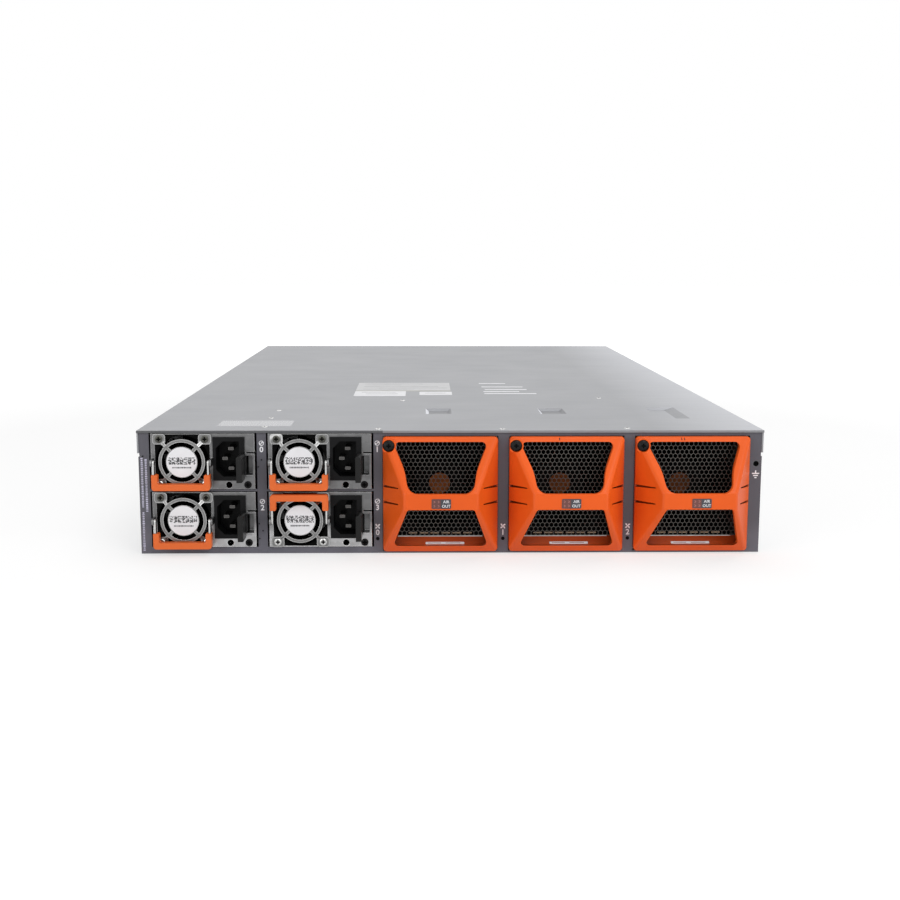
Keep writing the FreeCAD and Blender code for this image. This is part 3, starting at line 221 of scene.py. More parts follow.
# Earth mark: drop below the socket, stem, and bars as shares of the first one
EARTH_DROP = 7.0 * MM
EARTH_STEM = 1.7 * MM
EARTH_BAR = 5.2 * MM
EARTH_BAR_SHARES = (1.0, 0.66, 0.3)
EARTH_LINE = 0.85 * MM
EARTH_PITCH = 1.5 * MM

# Print on the left post: columns of small marks as (distance from its edge, low end, high end)
POST_PRINT = [(2.2 * MM, 33.3 * MM, 68.7 * MM), (5.0 * MM, 30.2 * MM, 67.8 * MM),
              (2.2 * MM, 2.0 * MM, 30.2 * MM)]
POST_PRINT_W = 1.7 * MM
POST_PRINT_SEED = 7

# Lid, with distances from the rear edge: stickers as (left, right, near, far), print lines as
# (left, right, distance) and screws as (x, distance)
LID_STICKERS = [(-80 * MM, 5 * MM, 255 * MM, 321 * MM), (-80 * MM, -35 * MM, 212 * MM, 250 * MM),
                (-23 * MM, 5.6 * MM, 220 * MM, 245 * MM)]
LID_LINES = [(33 * MM, 58 * MM, 317 * MM), (34 * MM, 72 * MM, 286 * MM), (36 * MM, 74 * MM, 264 * MM),
             (34 * MM, 66 * MM, 247 * MM), (34 * MM, 80 * MM, 231 * MM)]
LID_LINE_H = 5.5 * MM
LID_LINE_ROUND = 0.125
LID_STRIPE = (-80 * MM, 5 * MM, 250.5 * MM, 254.5 * MM)
LABEL_LINES = [(-74 * MM, -20 * MM, 312 * MM), (-74 * MM, -40 * MM, 302 * MM),
               (-74 * MM, -6 * MM, 288 * MM), (-60 * MM, 2 * MM, 276 * MM),
               (-74 * MM, -28 * MM, 266 * MM), (-74 * MM, -44 * MM, 240 * MM),
               (-70 * MM, -42 * MM, 228 * MM), (-18 * MM, 0 * MM, 234 * MM)]
LABEL_LINE_H = 2.4 * MM
LID_FILM = (-168 * MM, -115 * MM, 22 * MM, 52 * MM)
LID_SCREWS = [(-133 * MM, 17 * MM), (-52 * MM, 7 * MM), (36 * MM, 6.4 * MM), (125 * MM, 9 * MM),
              (-133 * MM, 111 * MM), (-134 * MM, 66 * MM), (-37 * MM, 179 * MM), (130 * MM, 195 * MM)]
LID_SCREW_R = 2.2 * MM
LID_SCREW_H = 0.5 * MM
LID_STICKER_ROUND = 1.5 * MM
LID_STRIPE_ROUND = 0.5 * MM
LID_FILM_ROUND = 2.0 * MM

# Stage: size of the floor, gap under the object, floor's colour, distances of its fade to white, share of
# white near the object and its strength, and the strength of the world as a lamp
FLOOR_SIZE = 6.0
FLOOR_GAP = 0.5 * MM
FLOOR_COLOR = (0.86, 0.86, 0.86, 1)
FLOOR_FADE = (0.55, 1.5)
FLOOR_LIFT = 0.5
FLOOR_WHITE = 1.2
WORLD_LIGHT = 0.35
# Lamps as (name, place, target, size, watts)
LAMPS = [("key", (1.0, -2.2, 1.8), (0, -0.2, 0), (1.6, 1.2), 23),
         ("fill", (-1.5, -2.0, 0.9), (0, -0.3, 0), (1.2, 1.2), 12),
         ("top", (0.5, 0.2, 2.4), (0, 0, 0), (2.0, 1.6), 17),
         ("right_low", (2.0, -1.5, 0.4), (0.1, -0.38, 0.04), (0.9, 0.9), 11),
         ("left_low", (-2.0, -1.6, 0.4), (-0.1, -0.38, 0.04), (0.9, 0.9), 5),
         ("far_side", (-0.4, 1.5, 2.1), (0, 0.3, 0), (1.4, 1.2), 9)]

# Values of noise and of crystal cells between which a finish goes from one end to the other
NOISE_SPAN = (0.3, 0.7)
SPANGLE_SPAN = (0.1, 0.9)
# Paint and mouldings: detail of the slow clouds, swing of the gloss and depth of the grain
CLOUD_DETAIL = 4.0
GRAIN_GLOSS = 0.05
GRAIN_DEPTH = 0.05 * MM
# Sheet metal: rolling streaks with their gloss against the plain one, and spangle of small parts
ROLL_STRETCH = (1, 1, 14)
ROLL_SCALE = 160.0
ROLL_DETAIL = 3.0
ROLL_GLOSS = (-0.06, 0.08)
ROLL_RELIEF = 0.05
ROLL_DEPTH = 0.02 * MM
FINE_SPANGLE = 900.0
# Lid: colour and gloss, streaks with their tones, smudges, grain and rounding of the edges in shading
LID_COLOR = (0.275, 0.280, 0.297)
LID_ROUGHNESS = 0.42
LID_METALLIC = 0.2
LID_STRETCH = (1.2, 16, 1)
LID_STREAK_SCALE = 9.0
LID_STREAK_DETAIL = 5.0
LID_STREAK_TONES = (0.96, 1.03)
LID_SMUDGE_SCALE = 18.0
LID_GLOSS = (0.39, 0.46)
LID_GRAIN = 2200.0
LID_RELIEF = 0.12
LID_GRAIN_DEPTH = 0.03 * MM
LID_EDGE = 0.5 * MM

# Masks, each from 0 to 1: share of open sky from open faces to deep grooves, for painted groove shade,
# cosine from flat faces to edges, for painted edge highlights, x along the lid into its painted sheen, and
# height down into painted floor light
GROOVE_SPAN = (0.8, 0.35)
EDGE_SPAN = (0.995, 0.9)
PAINTED_SHEEN_SPAN = (145.0 * MM, 222.0 * MM)
FLOOR_LIGHT_SPAN = (24.0 * MM, 12.0 * MM)
SHADE_SAMPLES = 8
# Least share of a face's direction: upward for level faces, for faces of the lid with the slopes of its
# hollows and for the ramp under a grille, sideways for the hollows' walls, and to the service side
LEVEL_FACE = 0.99
UPPER_FACE = 0.5
RAMP_FACE = 0.3
WALL_FACE = 0.1
SERVICE_FACE = 0.7
# Tones of the masked places against the plain finish: painted shade in grooves, hollows and on the ramp,
# painted highlights on edges, hollow walls and the lid's sheen, painted floor light low down, and darker
# tones on the lid's lip
GROOVE_SHADE_TONE = 0.22
EDGE_HIGHLIGHT_TONE = 2.8
LIP_TONE = 0.85
SUPPLY_LIP_TONE = 0.38
HOLLOW_SHADE_TONE = 0.66
WALL_HIGHLIGHT_TONE = 3.0
PAINTED_SHEEN_TONE = 1.8
RAMP_SHADE_TONE = 0.5
SLATE_FLOOR_LIGHT_TONE = 1.45
SUPPLY_FLOOR_LIGHT_TONE = 2.5

# Rounding of the solids' edges, with the limits of what is one point, one flat face and a sharp edge
EDGE_ROUND = {"bezel": 0.7 * MM, "grip": 0.9 * MM, "latch": 0.5 * MM, "fan_guard": 0.3 * MM,
              "bail": 0.2 * MM}
EDGE_STEPS = 3
WELD_REACH = 0.002 * MM
FLAT_ANGLE = math.radians(0.5)
SHARP_ANGLE = math.radians(35)


# Building blocks of the finishes: each returns a socket of the node tree

def object_coordinates(tree, stretch=(1, 1, 1)):
    """Object coordinates in metres, stretched to make streaks."""
    coordinates = tree.nodes.new("ShaderNodeTexCoord")
    mapping = tree.nodes.new("ShaderNodeMapping")
    mapping.inputs["Scale"].default_value = stretch
    tree.links.new(coordinates.outputs["Object"], mapping.inputs["Vector"])
    return mapping.outputs["Vector"]


def split(tree, vector):
    """X, Y and Z of a vector."""
    parts = tree.nodes.new("ShaderNodeSeparateXYZ")
    tree.links.new(vector, parts.inputs["Vector"])
    return parts.outputs


def face_direction(tree):
    """Direction of the flat faces."""
    return tree.nodes.new("ShaderNodeNewGeometry").outputs["True Normal"]


def rounded_direction(tree, radius):
    """Direction of the faces with their edges shaded as if rounded to a radius."""
    round_edge = tree.nodes.new("ShaderNodeBevel")
    round_edge.inputs["Radius"].default_value = radius
    return round_edge.outputs["Normal"]


def noise(tree, vector, scale, detail=2.0):
    texture = tree.nodes.new("ShaderNodeTexNoise")
    texture.inputs["Scale"].default_value = scale
    texture.inputs["Detail"].default_value = detail
    tree.links.new(vector, texture.inputs["Vector"])
    return texture.outputs["Fac"]


def grade(tree, value, span, ends=(0.0, 1.0)):
    """Even steps from the first end to the second while a value goes through a span."""
    steps = tree.nodes.new("ShaderNodeMapRange")
    steps.inputs["From Min"].default_value, steps.inputs["From Max"].default_value = span
    steps.inputs["To Min"].default_value, steps.inputs["To Max"].default_value = ends
    tree.links.new(value, steps.inputs["Value"])
    return steps.outputs["Result"]


def combine(tree, operation, first, second):
    """Result of an operation on one socket and another socket or a number."""
    node = tree.nodes.new("ShaderNodeMath")
    node.operation = operation
    tree.links.new(first, node.inputs[0])
    if isinstance(second, float):
        node.inputs[1].default_value = second
    else:
        tree.links.new(second, node.inputs[1])
    return node.outputs["Value"]


def below(tree, value, limit):
    """1 where a value is under a limit, else 0."""
    return combine(tree, "LESS_THAN", value, limit)


def above(tree, value, limit):
    """1 where a value is over a limit, else 0."""
    return combine(tree, "GREATER_THAN", value, limit)


def product(tree, first, second):
    return combine(tree, "MULTIPLY", first, second)


def crevice(tree, reach):
    """1 deep in a groove or a corner of the piece, 0 on its open faces."""
    shade = tree.nodes.new("ShaderNodeAmbientOcclusion")
    shade.inputs["Distance"].default_value = reach
    shade.samples = SHADE_SAMPLES
    shade.only_local = True
    return grade(tree, shade.outputs["AO"], GROOVE_SPAN)


def sharp_edge(tree, radius):
    """1 along an edge, where the rounded direction leaves the flat one, 0 on flat faces."""
    dot = tree.nodes.new("ShaderNodeVectorMath")
    dot.operation = "DOT_PRODUCT"
    tree.links.new(rounded_direction(tree, radius), dot.inputs[0])
    tree.links.new(face_direction(tree), dot.inputs[1])
    return grade(tree, dot.outputs["Value"], EDGE_SPAN)


def near_floor(tree):
    """1 on the lowest faces of the service side, where the floor's light is painted into the colour, 0
    above them.
    """
    low_down = grade(tree, split(tree, object_coordinates(tree))["Z"], FLOOR_LIGHT_SPAN)
    return product(tree, low_down, below(tree, split(tree, face_direction(tree))["Y"], -SERVICE_FACE))


# Finishes

def tone(color, factor):
    return tuple(min(1.0, c * factor) for c in color)


def new_material(name, color, roughness, metallic=0.0):
    """Principled material with the values that are the same all over its surface."""
    material = bpy.data.materials.new(name)
    material.use_nodes = True
    shader = material.node_tree.nodes["Principled BSDF"]
    shader.inputs["Base Color"].default_value = (*color, 1)
    shader.inputs["Roughness"].default_value = roughness
    shader.inputs["Metallic"].default_value = metallic
    return material, material.node_tree, shader


def vary_color(tree, shader, factor, dark, light, spread=NOISE_SPAN):
    """Base colour that wanders between two close tones."""
    ramp = tree.nodes.new("ShaderNodeValToRGB")
    for element, position, color in zip(ramp.color_ramp.elements, spread, (dark, light)):
        element.position = position
        element.color = (*color, 1)
    tree.links.new(factor, ramp.inputs["Fac"])
    tree.links.new(ramp.outputs["Color"], shader.inputs["Base Color"])


def scale_color(tree, shader, mask, level):
    """Multiply the shader's base colour by a grey level where the mask is 1."""
    color = shader.inputs["Base Color"].links[0].from_socket
    mix = tree.nodes.new("ShaderNodeMixRGB")
    mix.blend_type = "MULTIPLY"
    mix.inputs["Color2"].default_value = (level, level, level, 1)
    tree.links.new(mask, mix.inputs["Fac"])
    tree.links.new(color, mix.inputs["Color1"])
    tree.links.new(mix.outputs["Color"], shader.inputs["Base Color"])


def vary_roughness(tree, shader, factor, low, high):
    tree.links.new(grade(tree, factor, NOISE_SPAN, (low, high)), shader.inputs["Roughness"])


def add_bump(tree, shader, height, strength, distance, edge=0.0):
    """Fine relief, over edges that are shaded as if rounded to a radius."""
    bump = tree.nodes.new("ShaderNodeBump")
    bump.inputs["Strength"].default_value = strength
    bump.inputs["Distance"].default_value = distance
    tree.links.new(height, bump.inputs["Height"])
    tree.links.new(bump.outputs["Normal"], shader.inputs["Normal"])
    if edge:
        tree.links.new(rounded_direction(tree, edge), bump.inputs["Normal"])


def coated(name, color, roughness, metallic=0.0, grain=1600.0, relief=0.25, vary=0.12, cloud=14.0,
           specular=0.5, edge=0.0, groove_shade_reach=0.0, floor_light_tone=0.0):
    """Paint or moulding: slow clouds in the colour, a fine grain in gloss and relief, painted shade in
    grooves and painted floor light on the lowest faces.
    """
    material, tree, shader = new_material(name, color, roughness, metallic)
    shader.inputs["Specular IOR Level"].default_value = specular
    clouds = noise(tree, object_coordinates(tree), cloud, CLOUD_DETAIL)
    vary_color(tree, shader, clouds, tone(color, 1 - vary), tone(color, 1 + vary))
    fine = noise(tree, object_coordinates(tree), grain)
    vary_roughness(tree, shader, fine, roughness - GRAIN_GLOSS, roughness + GRAIN_GLOSS)
    add_bump(tree, shader, fine, relief, GRAIN_DEPTH, edge)
    # Painted shade: grooves and corners are darker.
    if groove_shade_reach:
        scale_color(tree, shader, crevice(tree, groove_shade_reach), GROOVE_SHADE_TONE)
    # Painted floor light: the lowest faces are lighter.
    if floor_light_tone:
        scale_color(tree, shader, near_floor(tree), floor_light_tone)
    return material


def plated(name, color, roughness, spangle=260.0, vary=0.12, edge=0.0, edge_highlight=0.0, floor_light_tone=0.0):
    """Bare or plated sheet metal: faint crystal spangle, rolling streaks, painted highlights along the
    edges and painted floor light on the lowest faces.
    """
    material, tree, shader = new_material(name, color, roughness, 1.0)
    cells = tree.nodes.new("ShaderNodeTexVoronoi")
    cells.inputs["Scale"].default_value = spangle
    tree.links.new(object_coordinates(tree), cells.inputs["Vector"])
    gray = tree.nodes.new("ShaderNodeRGBToBW")
    tree.links.new(cells.outputs["Color"], gray.inputs["Color"])
    vary_color(tree, shader, gray.outputs["Val"], tone(color, 1 - vary), tone(color, 1 + vary),
               SPANGLE_SPAN)
    streaks = noise(tree, object_coordinates(tree, ROLL_STRETCH), ROLL_SCALE, ROLL_DETAIL)
    vary_roughness(tree, shader, streaks, *(roughness + swing for swing in ROLL_GLOSS))
    add_bump(tree, shader, streaks, ROLL_RELIEF, ROLL_DEPTH, edge)
    # Painted highlight: the edges are lighter.
    if edge_highlight:
        scale_color(tree, shader, sharp_edge(tree, edge_highlight), EDGE_HIGHLIGHT_TONE)
    # Painted floor light: the lowest faces are lighter.
    if floor_light_tone:
        scale_color(tree, shader, near_floor(tree), floor_light_tone)
    return material


def lid_finish():
    """Satin grey with streaks and smudges, a painted sheen toward the right edge, darker tones on the lip,
    and painted shade and highlights in the hollows.
    """
    material, tree, shader = new_material("lid_satin_grey", LID_COLOR, LID_ROUGHNESS, LID_METALLIC)
    streaks = noise(tree, object_coordinates(tree, LID_STRETCH), LID_STREAK_SCALE, LID_STREAK_DETAIL)
    vary_color(tree, shader, streaks, *(tone(LID_COLOR, share) for share in LID_STREAK_TONES))
    smudges = noise(tree, object_coordinates(tree), LID_SMUDGE_SCALE, CLOUD_DETAIL)
    vary_roughness(tree, shader, smudges, *LID_GLOSS)
    grain = noise(tree, object_coordinates(tree), LID_GRAIN)
    add_bump(tree, shader, grain, LID_RELIEF, LID_GRAIN_DEPTH, LID_EDGE)
    place = split(tree, object_coordinates(tree))
    facing = split(tree, face_direction(tree))
    lip = below(tree, place["Y"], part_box("rear_frame")[0].y - PRINT)
    over_supplies = below(tree, place["X"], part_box("fan_0_bezel")[0].x)
    upper = above(tree, facing["Z"], UPPER_FACE)
    painted_sheen = product(tree, grade(tree, place["X"], PAINTED_SHEEN_SPAN), upper)
    sunk = below(tree, place["Z"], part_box("top_cover")[1].z - PRINT)
    hollow = product(tree, sunk, upper)
    wall_highlight = product(tree, hollow, above(tree, facing["X"], WALL_FACE))
    wall_shade = product(tree, hollow, below(tree, facing["X"], -WALL_FACE))
    level = product(tree, sunk, above(tree, facing["Z"], LEVEL_FACE))
    hollow_floor_shade = product(tree, level, below(tree, place["X"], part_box("fan_2_bezel")[0].x))
    scale_color(tree, shader, lip, LIP_TONE)
    scale_color(tree, shader, product(tree, lip, over_supplies), SUPPLY_LIP_TONE)
    # Painted highlight: the upper faces grow lighter toward the right edge.
    scale_color(tree, shader, painted_sheen, PAINTED_SHEEN_TONE)
    # Painted highlight on the hollows' left walls, and painted shade on their right walls and on the small
    # hollows' floors.
    scale_color(tree, shader, wall_highlight, WALL_HIGHLIGHT_TONE)
    scale_color(tree, shader, wall_shade, HOLLOW_SHADE_TONE)
    scale_color(tree, shader, hollow_floor_shade, HOLLOW_SHADE_TONE)
    return material


def bezel_finish():
    """Orange of the bezels, with painted shade in grooves and on the ramp under the handle."""
    material = coated("orange_moulding", (0.77, 0.104, 0.009), 0.40, grain=1300.0, relief=0.15, vary=0.05,
                      specular=0.26, groove_shade_reach=18.0 * MM)
    tree = material.node_tree
    height = split(tree, object_coordinates(tree))["Z"]
    low_down = below(tree, height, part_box("fan_0_bezel")[0].z + SILL_RISE)
    ramp = product(tree, low_down, above(tree, split(tree, face_direction(tree))["Z"], RAMP_FACE))
    # Painted shade: the upward ramp low in the bezel is darker.
    scale_color(tree, tree.nodes["Principled BSDF"], ramp, RAMP_SHADE_TONE)
    return material


LID = lid_finish()
# The slate's low tone is painted floor light on its lowest faces.
SLATE = coated("slate_powder_coat", (0.078, 0.076, 0.092), 0.5, relief=0.4, vary=0.1, edge=0.3 * MM,
               floor_light_tone=SLATE_FLOOR_LIGHT_TONE)
GALVANISED = plated("galvanised_steel", (0.46, 0.46, 0.45), 0.36)
# Edge tones of the supply steel, the guard and the blades are painted highlights; the supply steel's low
# tone is painted floor light.
PSU_STEEL = plated("supply_case_steel", (0.165, 0.165, 0.167), 0.36, edge=0.5 * MM, edge_highlight=0.7 * MM,
                   floor_light_tone=SUPPLY_FLOOR_LIGHT_TONE)
GUARD_METAL = plated("finger_guard_metal", (0.20, 0.20, 0.199), 0.34, spangle=FINE_SPANGLE, vary=0.05,
                     edge_highlight=1.2 * MM)
NICKEL = plated("nickel_plate", (0.60, 0.60, 0.59), 0.30, spangle=FINE_SPANGLE, vary=0.05)
# The blades' dark colour is painted shade of the inlet's mouth.
SHADED_BLADE_METAL = plated("shaded_blade_metal", (0.085, 0.082, 0.08), 0.3, spangle=FINE_SPANGLE, vary=0.05,
                     edge_highlight=0.4 * MM)
DARK_SCREW = plated("dark_zinc_screw", (0.085, 0.085, 0.075), 0.4, spangle=FINE_SPANGLE, vary=0.1)
DARK_NICKEL = plated("dark_socket_metal", (0.12, 0.12, 0.125), 0.4, spangle=FINE_SPANGLE, vary=0.1)
ORANGE = bezel_finish()
GRIP_ORANGE = coated("orange_grip", (0.70, 0.13, 0.022), 0.42, grain=1300.0, relief=0.2, vary=0.06,
                     specular=0.35)
BLACK = coated("black_moulding", (0.005, 0.005, 0.0055), 0.45, relief=0.2, vary=0.2, specular=0.12)
DEEP_BLACK = coated("black_fan_moulding", (0.002, 0.002, 0.002), 0.6, relief=0.2, vary=0.2, specular=0.04)
KNOB_BLACK = coated("black_knob", (0.004, 0.004, 0.004), 0.28, relief=0.1, vary=0.2, specular=0.2)
SMOKE = coated("smoky_lever", (0.009, 0.009, 0.009), 0.3, relief=0.05, vary=0.2, specular=0.2)
MESH_METAL = coated("grille_grey_steel", (0.095, 0.092, 0.084), 0.4, 0.4, relief=0.2, vary=0.2)
BOARD = coated("board_solder_mask", (0.012, 0.11, 0.045), 0.3, relief=0.1, vary=0.25, cloud=60.0)
RUBBER = coated("black_rubber", (0.016, 0.016, 0.016), 0.62, relief=0.3, vary=0.15)
WHITE_LABEL = coated("white_label", (0.76, 0.76, 0.78), 0.5, relief=0.05, vary=0.03, cloud=40.0)
LID_LABEL = coated("pale_lid_sticker", (0.53, 0.53, 0.54), 0.45, relief=0.05, vary=0.05, cloud=60.0)
LID_STRIPE_TONE = coated("straw_lid_stripe", (0.40, 0.39, 0.33), 0.45, relief=0.05, vary=0.05, cloud=60.0)
LABEL_PRINT = coated("faint_label_print", (0.40, 0.40, 0.41), 0.5, relief=0.05, vary=0.1, cloud=300.0)
CLEAR_FILM = coated("clear_film", (0.40, 0.405, 0.425), 0.25, 0.2, relief=0.05, vary=0.04, cloud=60.0)
WHITE_PRINT = coated("white_print", (0.80, 0.80, 0.82), 0.55, relief=0.05, vary=0.05, cloud=80.0)
PALE_PRINT = coated("pale_post_print", (0.46, 0.45, 0.56), 0.55, relief=0.05, vary=0.2, cloud=400.0)
GREY_PRINT = coated("grey_print", (0.07, 0.07, 0.075), 0.6, relief=0.05, vary=0.15, cloud=300.0)
DARK_PLATE = coated("dark_label_plate", (0.045, 0.047, 0.055), 0.5, relief=0.1, vary=0.1)
RED_FIELD = coated("red_label_field", (0.13, 0.045, 0.038), 0.5, relief=0.1, vary=0.15)
RED_MARK = coated("pink_label_mark", (0.36, 0.15, 0.13), 0.5, relief=0.05, vary=0.1)
# Each module's hub label is a darker copy of one colour: painted shade.
HUB_LABELS = [coated(f"amber_hub_label_{i}", tone((0.36, 0.11, 0.025), share), 0.6, relief=0.05, vary=0.2,
                     cloud=200.0, specular=0.1) for i, share in enumerate(HUB_LABEL_SHADE_TONES)]
# Tan of the tabs behind the grille, darkened as painted shade.
SHADED_TAN_METAL = coated("tan_strip", (0.30, 0.22, 0.14), 0.45, 0.3, relief=0.1, vary=0.2, cloud=200.0)

NODE_MATERIALS = {"chassis_tray": LID, "top_cover": LID, "rear_frame": SLATE, "esd_jack": DARK_NICKEL,
                  "bay_dividers": GALVANISED, "main_boards": BOARD, "front_panel": SLATE,
                  "port_cages": NICKEL, "dust_plugs": RUBBER, "management_jacks": BLACK}
PSU_MATERIALS = {"case": PSU_STEEL, "fan_housing": DEEP_BLACK, "fan_guard": GUARD_METAL,
                 "rotor": DEEP_BLACK, "inlet": BLACK, "bail": NICKEL, "grip": GRIP_ORANGE, "latch": SMOKE}
FAN_MATERIALS = {"bezel": ORANGE, "grille": MESH_METAL, "sled": GALVANISED, "frame": DEEP_BLACK,
                 "rotor": DEEP_BLACK, "captive_screw": KNOB_BLACK}


def dress_nodes():
    """Give each solid its finish and soften its edges."""
    for i in range(PSU_COUNT):
        NODE_MATERIALS.update({f"psu_{i}_{piece}": finish for piece, finish in PSU_MATERIALS.items()})
    for i in range(FAN_COUNT):
        NODE_MATERIALS.update({f"fan_{i}_{piece}": finish for piece, finish in FAN_MATERIALS.items()})
    for name, obj in NODES.items():
        obj.data.materials.clear()
        obj.data.materials.append(NODE_MATERIALS[name])
        kind = name.split("_", 2)[-1] if name.startswith(("psu_", "fan_")) else name
        if kind in EDGE_ROUND:
            soften(obj, EDGE_ROUND[kind])


def soften(obj, width):
    """Join the solid's facets into whole faces and round its sharp edges."""
    weld = obj.modifiers.new("weld", "WELD")
    weld.merge_threshold = WELD_REACH
    flat = obj.modifiers.new("whole_faces", "DECIMATE")
    flat.decimate_type = "DISSOLVE"
    flat.angle_limit = FLAT_ANGLE
    bevel = obj.modifiers.new("edge_round", "BEVEL")
    bevel.width = width
    bevel.segments = EDGE_STEPS
    bevel.limit_method = "ANGLE"
    bevel.angle_limit = SHARP_ANGLE
    bevel.harden_normals = True
    bevel.use_clamp_overlap = True


# Drawing on a face of the object: u and v lie in the face and w points out of it

def plane(origin, across, up):
    """Matrix of a face from its origin and its two directions."""
    u = Vector(across).normalized()
    w = u.cross(Vector(up)).normalized()
    return placed(u, w.cross(u), w, origin)


def placed(u, v, w, origin):
    """Matrix from three directions and an origin."""
    matrix = Matrix((u, v, w)).transposed().to_4x4()
    matrix.translation = origin
    return matrix


def on_service_side(x, y, z):
    """Upright face toward the service side."""
    return plane(Vector((x, y, z)), (1, 0, 0), (0, 0, 1))


def on_lid(x, y):
    """Level face on top of the lid."""
    return plane(Vector((x, y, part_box("top_cover")[1].z)), (1, 0, 0), (0, 1, 0))


def seat(node, x, z):
    """Face of a solid that is met first at x and z, coming from the service side."""
    start = Vector((x, cad_low.y - RAY_START, z))
    found, point, normal, _ = NODES[node].ray_cast(start, Vector((0, 1, 0)))
    if not found:
        raise ValueError(f"no face of {node} at {x}, {z}")
    up = Vector((0, 0, 1)) - normal * normal.z
    return plane(point, up.cross(normal), up)


def add_ring(bm, matrix, loop, w):
    """Points of a loop at a height over a face."""
    return [bm.verts.new(matrix @ Vector((u, v, w))) for u, v in loop]


def add_wall(bm, low, high):
    """Faces between two rings of as many points."""
    ends = zip(low, low[1:] + low[:1], high[1:] + high[:1], high)
    return [bm.faces.new(corners) for corners in ends]


def fill_between(bm, rings):
    """Flat faces inside the first ring and outside the others."""
    edges = [bm.edges.get((ring[i - 1], ring[i])) for ring in rings for i in range(len(ring))]
    bmesh.ops.triangle_fill(bm, use_beauty=True, edges=edges)


def add_flat(bm, matrix, loops, bottom, top):
    """Prism on a face, from one outer loop and any inner loops of (u, v) points."""
    levels = [[add_ring(bm, matrix, loop, w) for loop in loops] for w in (top, bottom)]
    for ring_top, ring_low in zip(*levels):
        add_wall(bm, ring_low, ring_top)
    for rings in levels:
        if len(rings) == 1:
            bm.faces.new(rings[0])
        else:
            fill_between(bm, rings)


def circle(radius, u=0.0, v=0.0, count=40):
    turns = [2 * math.pi * k / count for k in range(count)]
    return [(u + radius * math.cos(a), v + radius * math.sin(a)) for a in turns]


def rectangle(width, height, u=0.0, v=0.0):
    return [(u - width / 2, v - height / 2), (u + width / 2, v - height / 2),
            (u + width / 2, v + height / 2), (u - width / 2, v + height / 2)]


def rounded(width, height, radius, u=0.0, v=0.0, steps=5):
    """Rectangle with round corners."""
    points = []
    for k, (a, b) in enumerate(((1, 1), (-1, 1), (-1, -1), (1, -1))):
        for step in range(steps + 1):
            angle = math.pi / 2 * (k + step / steps)
            points.append((u + a * (width / 2 - radius) + radius * math.cos(angle),
                           v + b * (height / 2 - radius) + radius * math.sin(angle)))
    return points


def cross(arm, width):
    """Outline of a cross recess."""
    a, b = arm / 2, width / 2
    quarter = [(a, -b), (a, b), (b, b)]
    points = []
    for _ in range(4):
        points += quarter
        quarter = [(-v, u) for u, v in quarter]
    return points


def stroke(points, width):
    """Outline of a line of some width along (u, v) points."""
    left, right = [], []
    for i, (u, v) in enumerate(points):
        before = points[max(i - 1, 0)]
        after = points[min(i + 1, len(points) - 1)]
        along = Vector((after[0] - before[0], after[1] - before[1])).normalized()
        left.append((u - along.y * width / 2, v + along.x * width / 2))
        right.append((u + along.y * width / 2, v - along.x * width / 2))
    return right + left[::-1]


def add_text(bm, matrix, words, size, height, bold):
    """Flat letters or digits, centred on the face's origin and thickened by a share of their size."""
    curve = bpy.data.curves.new("letters", "FONT")
    curve.body = words
    curve.size = size
    curve.align_x = "CENTER"
    curve.align_y = "CENTER"
    curve.extrude = height / 2
    curve.offset = size * bold
    curve.resolution_u = LETTER_STEPS
    holder = bpy.data.objects.new("letters", curve)
    mesh = bpy.data.meshes.new_from_object(holder)
    mesh.transform(matrix @ Matrix.Translation((0, 0, height / 2)))
    bm.from_mesh(mesh)
    bpy.data.objects.remove(holder)
    bpy.data.meshes.remove(mesh)
    bpy.data.curves.remove(curve)


def make_piece(name, bm, body, material):
    """Finish a drawn shape as one piece that rides on a body."""
    bmesh.ops.recalc_face_normals(bm, faces=bm.faces)
    mesh = bpy.data.meshes.new(name)
    bm.to_mesh(mesh)
    bm.free()
    mesh.materials.append(material)
    obj = bpy.data.objects.new(name, mesh)
    bpy.context.scene.collection.objects.link(obj)
    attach(obj, body)
    return obj


def flat_piece(name, body, material, parts):
    """Piece made of flat prisms: each part is (matrix, loops, bottom, top)."""
    bm = bmesh.new()
    for matrix, loops, bottom, top in parts:
        add_flat(bm, matrix, loops, bottom, top)
    return make_piece(name, bm, body, material)


def screw_head(bm, matrix, radius, height):
    """Domed screw head with a cross recess."""
    rings = [add_ring(bm, matrix, circle(radius * r, count=SCREW_SIDES), height * w)
             for r, w in SCREW_PROFILE]
    for low, high in zip(rings, rings[1:]):
        add_wall(bm, low, high)
    recess = cross(radius * RECESS_ARM, radius * RECESS_SLOT)
    top = add_ring(bm, matrix, recess, height)
    floor = add_ring(bm, matrix, recess, height * RECESS_FLOOR)
    # The recess is black: painted shade.
    for face in add_wall(bm, floor, top):
        face.material_index = 1
    bm.faces.new(floor).material_index = 1
    bm.faces.new(rings[0])
    fill_between(bm, (rings[-1], top))


def screws(name, body, material, places, radius, height):
    """Screw heads in one piece, with their recesses in black as painted shade."""
    bm = bmesh.new()
    for matrix in places:
        screw_head(bm, matrix, radius, height)
    make_piece(name, bm, body, material).data.materials.append(DEEP_BLACK)


# Fan modules

def hexagon(radius, u, v):
    turns = [math.radians(30 + 60 * k) for k in range(6)]
    return [(u + radius * math.cos(a), v + MESH_STRETCH * radius * math.sin(a)) for a in turns]


